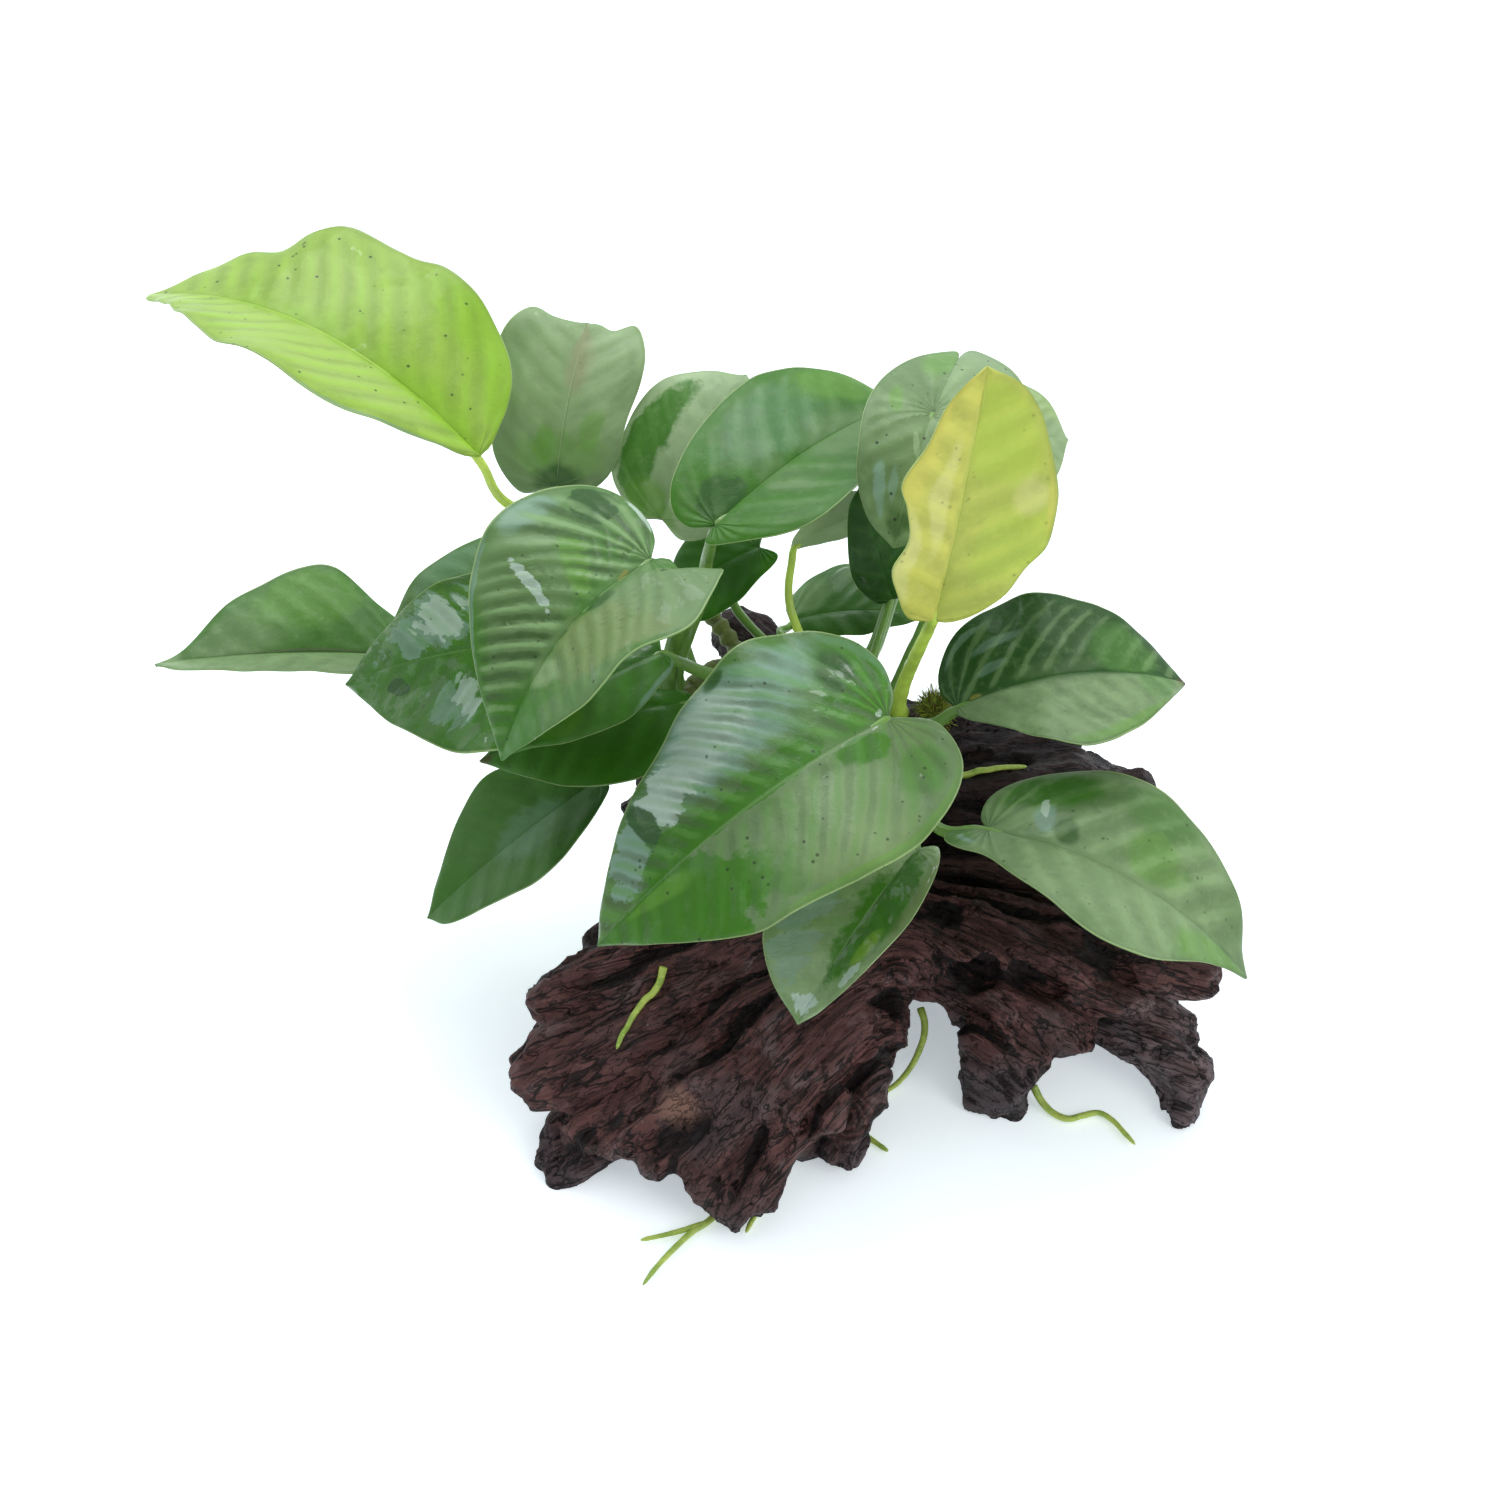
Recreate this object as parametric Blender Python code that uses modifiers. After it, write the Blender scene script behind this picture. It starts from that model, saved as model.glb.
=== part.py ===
"""Anubias barteri rooted on a piece of driftwood.

The plant's creeping rhizome lies along the ridge of an arched piece of dark wood.
Its leaves stand on single stems, and its roots run over the wood and the ground.

Frame: metres, +Z up. X runs to the right, Y runs away from the viewer. The origin
lies on the ground, in the middle of the flat sole under the wood's trunk.
The tables give millimetres, and every shape is made in them and scaled at the end.
"""

import math

import bmesh
import bpy
import numpy as np
from mathutils import Quaternion, Vector, noise

COLLECTION = "anubias_on_driftwood"
CUTTERS = "cutters"

MM = 0.001
GAP = 0.3
WELD = 0.01
CURVE_STEPS = 16

BLADE_THICKNESS = 0.9
BLADE_WELD = 0.02
MARGIN_SAMPLES = 61
BLADE_COLUMNS = 4
LARGE_LEAF = 55
LARGE_ROWS = 11
SMALL_ROWS = 8
VEIN_LEAD = 1.25
VEIN_BOW = 0.10
WAVE_REACH = 25.0

STEM_RADIUS = 1.7
STEM_TAPER = (1.15, 0.80)
STEM_SIDES = 1
STEM_POINTS = 7
STEM_LEAD = 2.0
STEM_STEP = 0.1
BLADE_CLEAR = 0.5
RIM_POINTS = 12

RHIZOME_RADIUS = 3.6
RHIZOME_POINTS = 14
RHIZOME_SWELL = 0.08
RHIZOME_BEAT = 2.6
RHIZOME_END = 0.75
RHIZOME_PATH = [(12, 48, 67), (3, 54, 68), (-10, 61, 68), (-24, 66, 68), (-36, 66, 66), (-47, 59, 61),
                (-56, 49, 55)]
OLD_STEM_PATH = [(-29, 67, 68), (-34, 74, 72), (-38, 79, 74.5), (-41, 82, 75)]
OLD_STEM_RADIUS = 2.2
OLD_STEM_POINTS = 6
GROOVE_RADIUS = 4.26

ROOT_RADIUS = 1.0
ROOT_TAPER = (1.0, 0.7)
ROOT_POINTS = 7
ROOT_CLEAR = 0.9
ROOT_TRIES = 6
BRANCH_TAPER = (0.8, 0.6)
BRANCH_POINTS = 5

MOSS_CENTRE = (18.5, 50, 67.5)
MOSS_HALF = (4.5, 5.5, 5)
MOSS_SWELL = 0.18
MOSS_LUMPS = 2.3

VOXEL = 2.4
WOOD_TRIANGLES = 2050
GROUND_HALF = (150, 150, 30)
ABOVE = 200

# The wood's grain: where it arches from and how it spreads, then the height of its relief
# and, across the grain, along it and up, how large its ridges and its ledges are.
GRAIN_CENTRE = (8, 25)
GRAIN_ROUND = 8
GRAIN_SPREAD = 30
GRAIN_FAN = 85
GRAIN_RUN = 1.1
GRAIN_HEIGHT = 2.0
GRAIN_BEND = 2.5
BEND_SIZE = 17
RIDGE_SIZE = (9, 44, 19)
LEDGE_SIZE = (7.5, 33, 11)
LUMP_SIZE = 14
RAGGED = 0.35

COLOURS = {
    "leaf_green": ((0.055, 0.145, 0.035), 0.32),
    "leaf_light": ((0.20, 0.42, 0.04), 0.40),
    "leaf_yellow": ((0.55, 0.55, 0.05), 0.45),
    "stem_green": ((0.10, 0.22, 0.03), 0.40),
    "stem_lime": ((0.36, 0.50, 0.05), 0.42),
    "rhizome_green": ((0.13, 0.17, 0.03), 0.65),
    "root_lime": ((0.35, 0.48, 0.05), 0.50),
    "driftwood": ((0.045, 0.022, 0.020), 0.75),
    "moss": ((0.16, 0.20, 0.03), 0.90),
}

# Leaves. base and tip are the ends of the midrib, and face is the side that the upper
# surface turns to. arch is how high the midrib bows between them. fold is how far each half
# drops for each millimetre from the midrib, left and right of someone looking from base to
# tip, and a negative one rises. left and right are the outline: how far along the midrib
# and how far out. wave is the height, count and start of the ripples along the margins.
# foot is the place of the stem's foot on the rhizome, from its right end, 0, to its left
# end, 1, and the angle there, from 0 straight up to 90 towards the viewer. stem is the
# points that the stem passes through on its way to the base.
LEAVES = {
    "top_left": dict(
        base=(-91, 61, 140), tip=(-176, 112, 150), face=(0, 0.1, 1), arch=13, fold=(-0.30, -0.28),
        left=[(2, 5), (12, 15), (25, 23), (42, 26), (56, 25), (72, 19), (84, 10.5), (91, 6.5), (96, 4.5)],
        right=[(0, 6), (6, 21), (20, 30), (44, 32), (61, 30), (70, 26), (74, 19), (83, 18), (90, 9),
               (95, 3.5)],
        wave=(1.2, 3, 0.0), foot=(0.83, -60), stem=[(-55, 70, 88), (-73, 66, 113), (-86, 60, 127)],
        finish="leaf_light"),
    "upper_left": dict(
        base=(-77, 91, 108), tip=(-69, 118, 138), face=(0, -0.5, 1), arch=6, fold=(0, 0),
        left=[(-2, 4), (-3, 10), (5, 17), (17, 19), (30, 21), (38, 19.5), (43, 15), (41.5, 9), (41, 4)],
        right=[(0, 8), (7, 14), (20, 15.5), (30, 17), (37, 16), (43, 12), (40.5, 7), (41.5, 3)],
        wave=(1.5, 2, 0.3), foot=(0.76, -40), stem=[(-49, 76, 80), (-61, 85, 96)], finish="leaf_green"),
    "upper_back": dict(
        base=(-50, 81, 105), tip=(-29, 107, 130), face=(0, -0.3, 1), arch=6, fold=(0, 0),
        left=[(-2, 7), (4, 17), (18, 19), (30, 17), (38, 9)],
        right=[(-2, 7), (4, 15), (18, 18), (30, 16), (38, 9)],
        wave=(0.8, 2, 0.1), foot=(0.7, -80),
        stem=[(-46, 81, 71), (-46, 92, 82), (-39, 98, 95), (-40, 88, 105)], finish="leaf_green"),
    "upper_centre": dict(
        base=(-36, 54, 125), tip=(10, 101, 125), face=(0, -0.3, 1), arch=6, fold=(0, -0.35),
        left=[(-4, 5), (-3, 12), (4, 18), (20, 24), (42, 26), (56, 20), (64, 9)],
        right=[(-5, 2), (-2, 7), (5, 15), (14, 19), (30, 18), (48, 15), (60, 8)],
        wave=(0.8, 2, 0.2), foot=(0.8, 5), stem=[(-46, 61, 76), (-40, 65, 93), (-38.8, 64, 104)],
        finish="leaf_green"),
    "upper_right": dict(
        base=(14.6, 70, 145), tip=(5.5, 48, 123), face=(0, -0.3, 1), arch=6, fold=(0, 0),
        left=[(-8, 0.25), (-16, 0.25), (-21, 0.25), (-23, 3), (-20, 12), (-14, 18), (-4, 21.5), (8, 21),
              (20, 16), (28, 9)],
        right=[(-8, 0.25), (-15, 0.25), (-19, 0.25), (-21, 2), (-16, 9), (-8, 14), (2, 15.5), (12, 14),
               (20, 12), (28, 7)],
        wave=(0.8, 2, 0.0), foot=(0.21, -65), stem=[(4, 66, 75.5), (9, 76, 87), (14, 82, 112), (15, 78, 133)],
        finish="leaf_green"),
    "far_right": dict(
        base=(28, 90, 118), tip=(50, 87, 125), face=(0, -0.3, 1), arch=3, fold=(0, 0),
        left=[(-3, 9), (1, 16), (10, 19), (19, 12)],
        right=[(-3, 9), (2, 17), (11, 20), (20, 12)],
        wave=(0.6, 2, 0.5), foot=(0.09, -60), stem=[(12, 61, 76), (19, 72, 88)], finish="leaf_green"),
    "yellow": dict(
        base=(14, 28, 118), tip=(22, 38, 180), face=(0, -0.8, 0.5), arch=4, fold=(-0.5, 0),
        left=[(1, 6), (9, 10), (17, 12.5), (24, 10), (33, 12), (39, 14), (47, 10), (55, 7.5), (60, 4)],
        right=[(0, 4), (4, 10), (10, 14), (17, 17), (25, 20.5), (35, 21), (43, 19), (50, 16), (56, 13),
               (61, 8)],
        wave=(1.6, 4, 0.2), foot=(0.03, 30), stem=[(10, 41, 88)], finish="leaf_yellow"),
    "shade": dict(
        base=(8, 70, 88), tip=(-1, 77, 118), face=(0, -0.8, 0.5), arch=3, fold=(0, 0),
        left=[(0, 4), (9, 8), (19, 7), (28, 4)],
        right=[(0, 6), (9, 9), (19, 9), (28, 6)],
        wave=(0.5, 2, 0.0), foot=(0.16, 0), stem=[(3.5, 60, 79)], finish="leaf_green"),
    "back_low": dict(
        base=(-17, 82, 70), tip=(18, 78, 75), face=(0, -0.3, 1), arch=4, fold=(0, 0),
        left=[(-2, 6), (3, 11), (14, 15), (25, 12)],
        right=[(1, 3), (8, 6), (18, 7), (28, 4)],
        wave=(0.5, 2, 0.0), foot=(0.4, -85), stem=[(-20, 76, 71)], finish="leaf_green"),
    "under_centre": dict(
        base=(-26, 82.5, 94.5), tip=(-48, 74.5, 81.5), face=(0, -0.3, 1), arch=3, fold=(0, 0),
        left=[(-3, 4), (3, 8), (12, 11), (22, 9)],
        right=[(-3, 5), (3, 10), (11, 13), (20, 10)],
        wave=(0.5, 2, 0.0), foot=(0.48, -75), stem=[(-32, 80, 77), (-33, 87, 87)], finish="leaf_green"),
    "back_pale": dict(
        base=(-17.5, 79, 98), tip=(11, 84, 107), face=(0, 0.95, 0.3), arch=3, fold=(0, 0),
        left=[(3, 4), (12, 8), (22, 7)],
        right=[(2, 3), (10, 8), (20, 9)],
        wave=(0.4, 2, 0.0), foot=(0.36, -15), stem=[(-18, 72, 85)], finish="leaf_light"),
    "heart": dict(
        base=(-51, 37, 128), tip=(-84, 1, 100), face=(0, -0.2, 1), arch=12, fold=(-0.55, -0.20),
        left=[(-3, 3), (-1.5, 9), (-3, 14), (-7, 17), (-4, 20), (4, 25), (12, 27), (22, 21), (35, 18.5),
              (48, 9)],
        right=[(-6, 5), (-10, 14), (-9, 24), (0, 30), (14, 30), (28, 25), (44, 13)],
        wave=(0.6, 2, 0.4), foot=(0.86, 15), stem=[(-48, 58, 80), (-46, 56, 93), (-47, 48, 115)],
        finish="leaf_green"),
    "left_glossy": dict(
        base=(-70, 47, 95), tip=(-128, 47, 80), face=(0, -0.3, 1), arch=5, fold=(0, 0),
        left=[(-2, 9), (5, 22), (19, 29), (30, 27), (45, 17), (54, 7)],
        right=[(-2, 9), (8, 20), (22, 23), (37, 20), (50, 11)],
        wave=(1.0, 3, 0.1), foot=(0.91, -25), stem=[(-54, 60, 82), (-60, 56, 93.5)], finish="leaf_green"),
    "left_behind": dict(
        base=(-76, 71, 90), tip=(-121, 62, 78), face=(0, -0.3, 1), arch=5, fold=(0, 0),
        left=[(0, 7), (10, 17), (24, 17), (38, 8)],
        right=[(0, 8), (8, 18), (20, 20), (34, 15), (42, 7)],
        wave=(1.0, 2, 0.4), foot=(0.955, -60), stem=[(-60, 64, 76)], finish="leaf_green"),
    "far_left": dict(
        base=(-117.5, 69, 69.5), tip=(-179, 60, 74.5), face=(0, -0.25, 1), arch=3, fold=(-0.9, 0),
        left=[(-1, 5), (8, 14), (26, 13), (44, 9), (55, 6)],
        right=[(-3, 7), (6, 16), (17, 27), (30, 26), (44, 17), (55, 4)],
        wave=(0.7, 2, 0.2), foot=(1.0, -105), stem=[(-76, 63, 60), (-100, 68, 62)], finish="leaf_green"),
    "low_upper": dict(
        base=(-50, 50, 88), tip=(-88, 30, 72), face=(0, -0.3, 1), arch=5, fold=(0, 0),
        left=[(-1, 4), (5, 8), (16, 12), (30, 9), (40, 3)],
        right=[(-1, 5), (8, 11), (20, 14), (34, 10)],
        wave=(0.6, 2, 0.0), foot=(0.56, 60), stem=[(-38, 56, 75)], finish="leaf_green"),
    "low_middle": dict(
        base=(-43, 49, 72), tip=(-96, 40, 60), face=(0, -0.3, 1), arch=5, fold=(0, 0),
        left=[(-1, 7), (8, 15), (20, 19), (34, 16), (47, 7)],
        right=[(0, 3), (10, 6), (26, 10), (42, 7)],
        wave=(0.7, 3, 0.0), foot=(0.63, 95), stem=[(-37, 55, 68)], finish="leaf_green"),
    "hanging": dict(
        base=(-66, 42, 52), tip=(-112, 24, 18), face=(0, -0.3, 1), arch=3, fold=(-0.45, 0),
        left=[(0, 5), (10, 12), (24, 16), (40, 12), (54, 7)],
        right=[(0, 6), (10, 14), (24, 20), (36, 17), (50, 8)],
        wave=(0.8, 2, 0.3), foot=(0.99, 60), stem=[], finish="leaf_green"),
    "front": dict(
        base=(3, 9, 105), tip=(-62, -30, 72), face=(0, -0.3, 1), arch=10, fold=(0, 0),
        left=[(-4, 2), (-9, 7), (-7, 18), (4, 27), (20, 30), (36, 27), (52, 24), (66, 15), (77, 5)],
        right=[(-5, 5), (-8, 15), (-4, 25), (8, 33), (24, 33), (44, 25), (62, 17), (77, 6)],
        wave=(0.7, 4, 0.1), foot=(0.25, 50), stem=[(-4, 32, 88)], finish="leaf_green"),
    "front_low": dict(
        base=(11, -1, 72), tip=(-17, -35, 50), face=(0, -0.3, 1), arch=5, fold=(-0.6, 0),
        left=[(-3, 4), (3, 8), (16, 10), (30, 8), (43, 4)],
        right=[(-2, 7), (7, 16), (21, 21), (35, 19), (44, 11)],
        wave=(0.6, 2, 0.0), foot=(0.32, 88), stem=[(0, 36, 70), (9, 13, 71)], finish="leaf_green"),
    "right_upper": dict(
        base=(23, 39, 80), tip=(79, 45, 82), face=(0, -0.2, 1), arch=9, fold=(0, -0.2),
        left=[(-3, 6), (-2, 14), (4, 22), (18, 26), (34, 23), (46, 15), (53, 6)],
        right=[(0, 3), (7, 10), (18, 20), (29, 23), (40, 18), (50, 8)],
        wave=(0.6, 3, 0.0), foot=(0.03, 100), stem=[(17, 41, 72)], finish="leaf_green"),
    "right_lower": dict(
        base=(29, 9, 68), tip=(89, -20, 48), face=(0, -0.2, 1), arch=12, fold=(0, -0.45),
        left=[(-3, 4), (-3, 11), (3, 18), (16, 25), (32, 26), (48, 21), (60, 14), (66, 5)],
        right=[(-7, 2), (-8, 6), (-4, 9), (3, 10), (14, 16), (30, 22), (44, 20), (60, 6)],
        wave=(0.6, 2, 0.5), foot=(0.15, 85), stem=[(9, 34, 66), (17, 15, 63)], finish="leaf_green"),
}

# Limbs of the driftwood, each a row of sections: centre, half width and half height.
LIMBS = {
    "ridge": [((-57, 36, 28), 12, 16), ((-40, 42, 32), 22, 24), ((-8, 50, 35), 24, 27),
              ((25, 48, 35), 24, 26), ((52, 46, 32), 21, 22), ((72, 44, 26), 12, 17)],
    "apron": [((-58, 4, 32), 10, 9), ((-40, 8, 32), 20, 13), ((-5, 10, 33), 22, 14), ((30, 10, 32), 20, 13),
              ((58, 12, 31), 22, 12), ((78, 10, 30), 14, 8)],
    "heel": [((-4, 20, 30), 15, 15), ((-3, 10, 14), 13, 12), ((-1, 2, -8), 12, 12)],
    "upper_left": [((-40, 6, 34), 17, 10), ((-60, -2, 34), 11, 8), ((-75, -9, 31), 7, 6),
                   ((-83, -12, 29), 4, 4)],
    "lower_left": [((-38, -6, 28), 18, 11), ((-58, -18, 24), 14, 8), ((-75, -25, 20), 11, 7),
                   ((-84, -29, 18), 7.5, 4.5)],
    "left_foot": [((-48, -18, 16), 12, 8), ((-64, -32, 8), 10, 7), ((-73, -40, 3), 8, 5),
                  ((-79, -43, 1), 4, 3)],
    "front_lobe": [((-12, 4, 30), 22, 13), ((-24, -18, 27), 25, 12), ((-32, -34, 20), 27, 10),
                   ((-34, -46, 12), 20, 7), ((-29, -60, 5), 3.5, 3)],
    "lobe_left": [((-30, -22, 25), 12, 9), ((-52, -36, 17), 10, 7), ((-71, -42, 12), 4, 3.5)],
    "front_foot": [((-8, -18, 18), 12, 12), ((-9, -32, 10), 11, 10), ((-11, -41, 2), 10, 6)],
    "lobe_right": [((0, -6, 24), 12, 10), ((-4, -22, 18), 11, 11), ((-5, -34, 10), 8, 8)],
    "middle": [((34, 4, 30), 20, 10), ((37, -9, 22), 16, 9), ((34, -18, 11), 10.5, 9),
               ((33, -22, -3), 8.5, 6)],
    "shelf": [((42, 4, 30), 16, 10), ((48, -9, 22), 12, 8), ((51, -18, 15), 7, 5)],
    "ledge": [((48, 4, 31), 16, 8), ((60, -6, 27), 9, 6), ((71, -13, 26), 2, 2)],
    "right_snag": [((58, 12, 34), 15, 8), ((74, 0, 34), 11, 6.5), ((87, -7, 34), 6, 5)],
    "far": [((50, 14, 20), 12, 11), ((64, 0, 16), 11, 11), ((76, -11, 12), 8, 10), ((81, -20, 6), 6.5, 8),
            ((80, -29, 0), 3, 3)],
    "back_branch": [((-2, 52, 48), 14, 13), ((-16, 70, 56), 10, 9), ((-27, 84, 61), 8, 7),
                    ((-34, 93, 62), 4, 4)],
    "back_left_leg": [((-36, 52, 26), 15, 14), ((-46, 64, 10), 11, 10), ((-52, 70, -4), 9, 8)],
    "back_right_leg": [((36, 56, 26), 15, 14), ((46, 68, 10), 11, 10), ((52, 75, -4), 9, 8)],
}
LIMB_SIDES = 16
LIMB_SQUARE = 0.75

# Roots, each through its points. Those of the first group lie on the wood, whose height
# takes the place of their own.
ROOTS_ON_WOOD = {
    "root_left": [(-49, -10, 0), (-52, -15, 0), (-56, -20, 0), (-60, -27, 0)],
    "root_back": [(22, 36, 0), (31, 38, 0), (42, 40, 0)],
}
ROOTS_ON_GROUND = {
    "root_front": [(-30, -46, 3.5), (-36, -55, 1.6), (-42, -60, 1.5), (-49, -68, 1.5), (-53, -74, 1.4)],
    "root_middle": [(-18, -38, 4), (-23, -46, 1.8), (-26, -53, 1.5), (-29, -60, 1.4)],
    "root_right": [(43, -20, 5), (46, -24, 1.8), (51, -27.5, 1.6), (60, -26, 1.6), (67, -35, 1.4)],
    "root_arch": [(15, -4, 16), (16, -9, 13), (13, -14, 6), (8, -18, 1.8), (2, -21, 1.5)],
    "root_small": [(-5, -27, 1.6), (-1, -31, 1.5), (6, -37, 1.4)],
}
ROOT_BRANCH = [(-38.5, -57.5, 1.6), (-46, -60, 1.5), (-54, -62, 1.4)]

# How stout the stems of some leaves are beside the rest.
STOUTNESS = {"top_left": 0.78, "upper_left": 0.8, "upper_back": 0.55, "far_right": 0.7, "shade": 0.7,
             "back_low": 0.7, "under_centre": 0.7, "back_pale": 0.68, "upper_centre": 1.04}

# Holes and clefts worn in the wood: place, half sizes and depth.
PITS = [((27, -7, 34), (8, 5, 7), 9), ((20, 4, 40), (8, 5, 7), 6), ((5, -12, 27), (6.5, 5, 6), 7),
        ((17, -11, 25), (5, 4, 5), 5), ((-25, 4, 42), (9, 3.5, 7), 4)]

# Where the wood forks: the box that holds each limb beyond the fork, its centre, its turn
# about the vertical and its half sizes.
FORKS = {
    "upper_left": ((-80, -3, 35), 22, (21, 13, 30)),
    "lower_left": ((-82, -34, 20), 22, (24, 16, 30)),
    "front_lobe": ((-28, -50, 12), 14, (52, 27, 34)),
    "middle": ((38, -30, 10), 0, (18.5, 22, 25)),
    "far": ((74, -22, 6), 0, (15, 20, 13)),
    "back_branch": ((-30, 98, 62), 30, (30, 24, 26)),
}


def remove_objects():
    """Clear the scene."""
    for item in list(bpy.data.objects):
        bpy.data.objects.remove(item)


def new_collection(name):
    """A collection in the scene."""
    group = bpy.data.collections.new(name)
    bpy.context.scene.collection.children.link(group)
    return group


def material(name):
    """The material of that name, made the first time that it is asked for."""
    found = bpy.data.materials.get(name)
    if found:
        return found
    colour, roughness = COLOURS[name]
    made = bpy.data.materials.new(name)
    made.use_nodes = True
    shader = made.node_tree.nodes["Principled BSDF"]
    shader.inputs["Base Color"].default_value = (*colour, 1)
    shader.inputs["Roughness"].default_value = roughness
    shader.inputs["Metallic"].default_value = 0
    return made


def move_to(item, group, finish=None):
    """Put an object in one collection and give it its material."""
    for other in list(item.users_collection):
        other.objects.unlink(item)
    group.objects.link(item)
    if finish:
        item.data.materials.clear()
        item.data.materials.append(material(finish))


def deselect():
    """Leave nothing selected."""
    bpy.context.view_layer.update()
    for item in list(bpy.context.selected_objects):
        item.select_set(False)


def apply_modifiers(item):
    """Apply all of an object's modifiers in their order."""
    deselect()
    bpy.context.view_layer.objects.active = item
    item.select_set(True)
    for modifier in list(item.modifiers):
        bpy.ops.object.modifier_apply(modifier=modifier.name)
    item.select_set(False)


def path_through(points, count):
    """Points at even distances along a smooth curve through the given points."""
    knots = np.array(points, float)
    knots = np.vstack([2 * knots[0] - knots[1], knots, 2 * knots[-1] - knots[-2]])
    fine = []
    for a, b, c, d in zip(knots, knots[1:], knots[2:], knots[3:]):
        for t in np.linspace(0, 1, CURVE_STEPS, endpoint=False):
            fine.append(0.5 * (2 * b + (c - a) * t + (2 * a - 5 * b + 4 * c - d) * t**2
                               + (3 * b - a - 3 * c + d) * t**3))
    fine.append(knots[-2])
    fine = np.array(fine)
    run = np.concatenate([[0], np.cumsum(np.linalg.norm(np.diff(fine, axis=0), axis=1))])
    places = np.linspace(0, run[-1], count)
    return np.stack([np.interp(places, run, fine[:, axis]) for axis in range(fine.shape[1])], axis=1)


def blade_axes(leaf):
    """The blade's length and its directions along, to the left and up."""
    base, tip = Vector(leaf["base"]), Vector(leaf["tip"])
    along = tip - base
    length = along.length
    along.normalize()
    face = Vector(leaf["face"])
    up = (face - along * face.dot(along)).normalized()
    return length, along, up.cross(along), up


def blade_point(leaf, axes, margins, across, run):
    """A point of the blade: across from -1 to 1, and run from the base, 0, to the tip, 1."""
    length, along, left, up = axes
    margin = margins[0] if across > 0 else margins[1]
    place = run * (len(margin) - 1)
    low = min(int(place), len(margin) - 2)
    edge = margin[low] + (margin[low + 1] - margin[low]) * (place - low)
    out = abs(across)
    rib = length * run**VEIN_LEAD
    a = rib + (edge[0] - rib) * out
    a -= VEIN_BOW * edge[1] * 4 * out * (1 - out) * 4 * run * (1 - run)
    w = edge[1] * out
    side = 0 if across > 0 else 1
    part = a / length
    height, count, start = leaf["wave"]
    lift = 4 * leaf["arch"] * part * (1 - part) - leaf["fold"][side] * w
    lift += height * math.sin(2 * math.pi * (count * part + start + 0.35 * side)) * (w / WAVE_REACH) ** 2
    return Vector(leaf["base"]) + along * a + left * math.copysign(w, across) + up * lift


def make_blade(name, leaf, group):
    """A leaf's blade: a grid drawn out to the leaf's outline, with a wall."""
    axes = blade_axes(leaf)
    rows = LARGE_ROWS if axes[0] > LARGE_LEAF else SMALL_ROWS
    bpy.ops.mesh.primitive_grid_add(x_subdivisions=BLADE_COLUMNS, y_subdivisions=rows, size=2)
    item = bpy.context.active_object
    item.name = "leaf_" + name
    item.data.name = item.name
    margins = [path_through([(0, 0)] + leaf[side] + [(axes[0], 0)], MARGIN_SAMPLES)
               for side in ("left", "right")]
    for vertex in item.data.vertices:
        run = (vertex.co.y + 1) / 2
        vertex.co = blade_point(leaf, axes, margins, vertex.co.x, run) * MM
    shape = bmesh.new()
    shape.from_mesh(item.data)
    bmesh.ops.remove_doubles(shape, verts=shape.verts, dist=BLADE_WELD * MM)
    bmesh.ops.triangulate(shape, faces=shape.faces)
    middle = sum((face.normal * face.calc_area() for face in shape.faces), Vector())
    if middle.dot(axes[3]) < 0:
        bmesh.ops.reverse_faces(shape, faces=shape.faces)
    shape.to_mesh(item.data)
    shape.free()
    wall = item.modifiers.new("wall", "SOLIDIFY")
    wall.thickness = BLADE_THICKNESS * MM
    wall.offset = 0
    item.data.shade_smooth()
    move_to(item, group, leaf["finish"])
    return item


def make_tube(name, points, radii, group, finish, sides=STEM_SIDES):
    """A round tube through points, with a radius at each."""
    data = bpy.data.curves.new(name, "CURVE")
    data.dimensions = "3D"
    data.bevel_depth = MM
    data.bevel_resolution = sides
    data.use_fill_caps = True
    spline = data.splines.new("POLY")
    spline.points.add(len(points) - 1)
    for knot, place, radius in zip(spline.points, points, radii):
        knot.co = (*(Vector(place) * MM), 1)
        knot.radius = radius
    item = bpy.data.objects.new(name, data)
    group.objects.link(item)
    data.materials.append(material(finish))
    return item


def tube_mesh(curve):
    """The tube as a mesh object with welded caps, in place of the curve."""
    bpy.context.view_layer.update()
    mesh = bpy.data.meshes.new_from_object(curve.evaluated_get(bpy.context.evaluated_depsgraph_get()))
    shape = bmesh.new()
    shape.from_mesh(mesh)
    bmesh.ops.remove_doubles(shape, verts=shape.verts, dist=WELD * MM)
    shape.to_mesh(mesh)
    shape.free()
    name, group, place = curve.name, curve.users_collection[0], curve.matrix_world.copy()
    bpy.data.objects.remove(curve)
    item = bpy.data.objects.new(name, mesh)
    item.matrix_world = place
    group.objects.link(item)
    return item


def rhizome_place(part, angle):
    """A point on the rhizome's axis and the direction there, turned from up by the angle."""
    points = path_through(RHIZOME_PATH, 101)
    spot = part * (len(points) - 1)
    low = min(int(spot), len(points) - 2)
    centre = points[low] + (points[low + 1] - points[low]) * (spot - low)
    run = Vector(points[low + 1] - points[low]).normalized()
    side = Vector((0, 0, 1)).cross(run).normalized()
    up = run.cross(side)
    turn = math.radians(angle)
    return Vector(centre), up * math.cos(turn) + side * math.sin(turn)


def stem_points(leaf, rise, short):
    """Points along a leaf's stem, from just off the rhizome to just short of the blade."""
    centre, out = rhizome_place(*leaf["foot"])
    start = centre + out * (RHIZOME_RADIUS + rise)
    bends = [Vector(place) for place in leaf["stem"]]
    base = Vector(leaf["base"])
    arrive = (base - (bends or [start])[-1]).normalized()
    end = base - arrive * short
    knots = [start, start + out * STEM_LEAD, *bends, end - arrive * STEM_LEAD, end]
    return [Vector(place) for place in path_through(knots, STEM_POINTS)]


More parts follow.
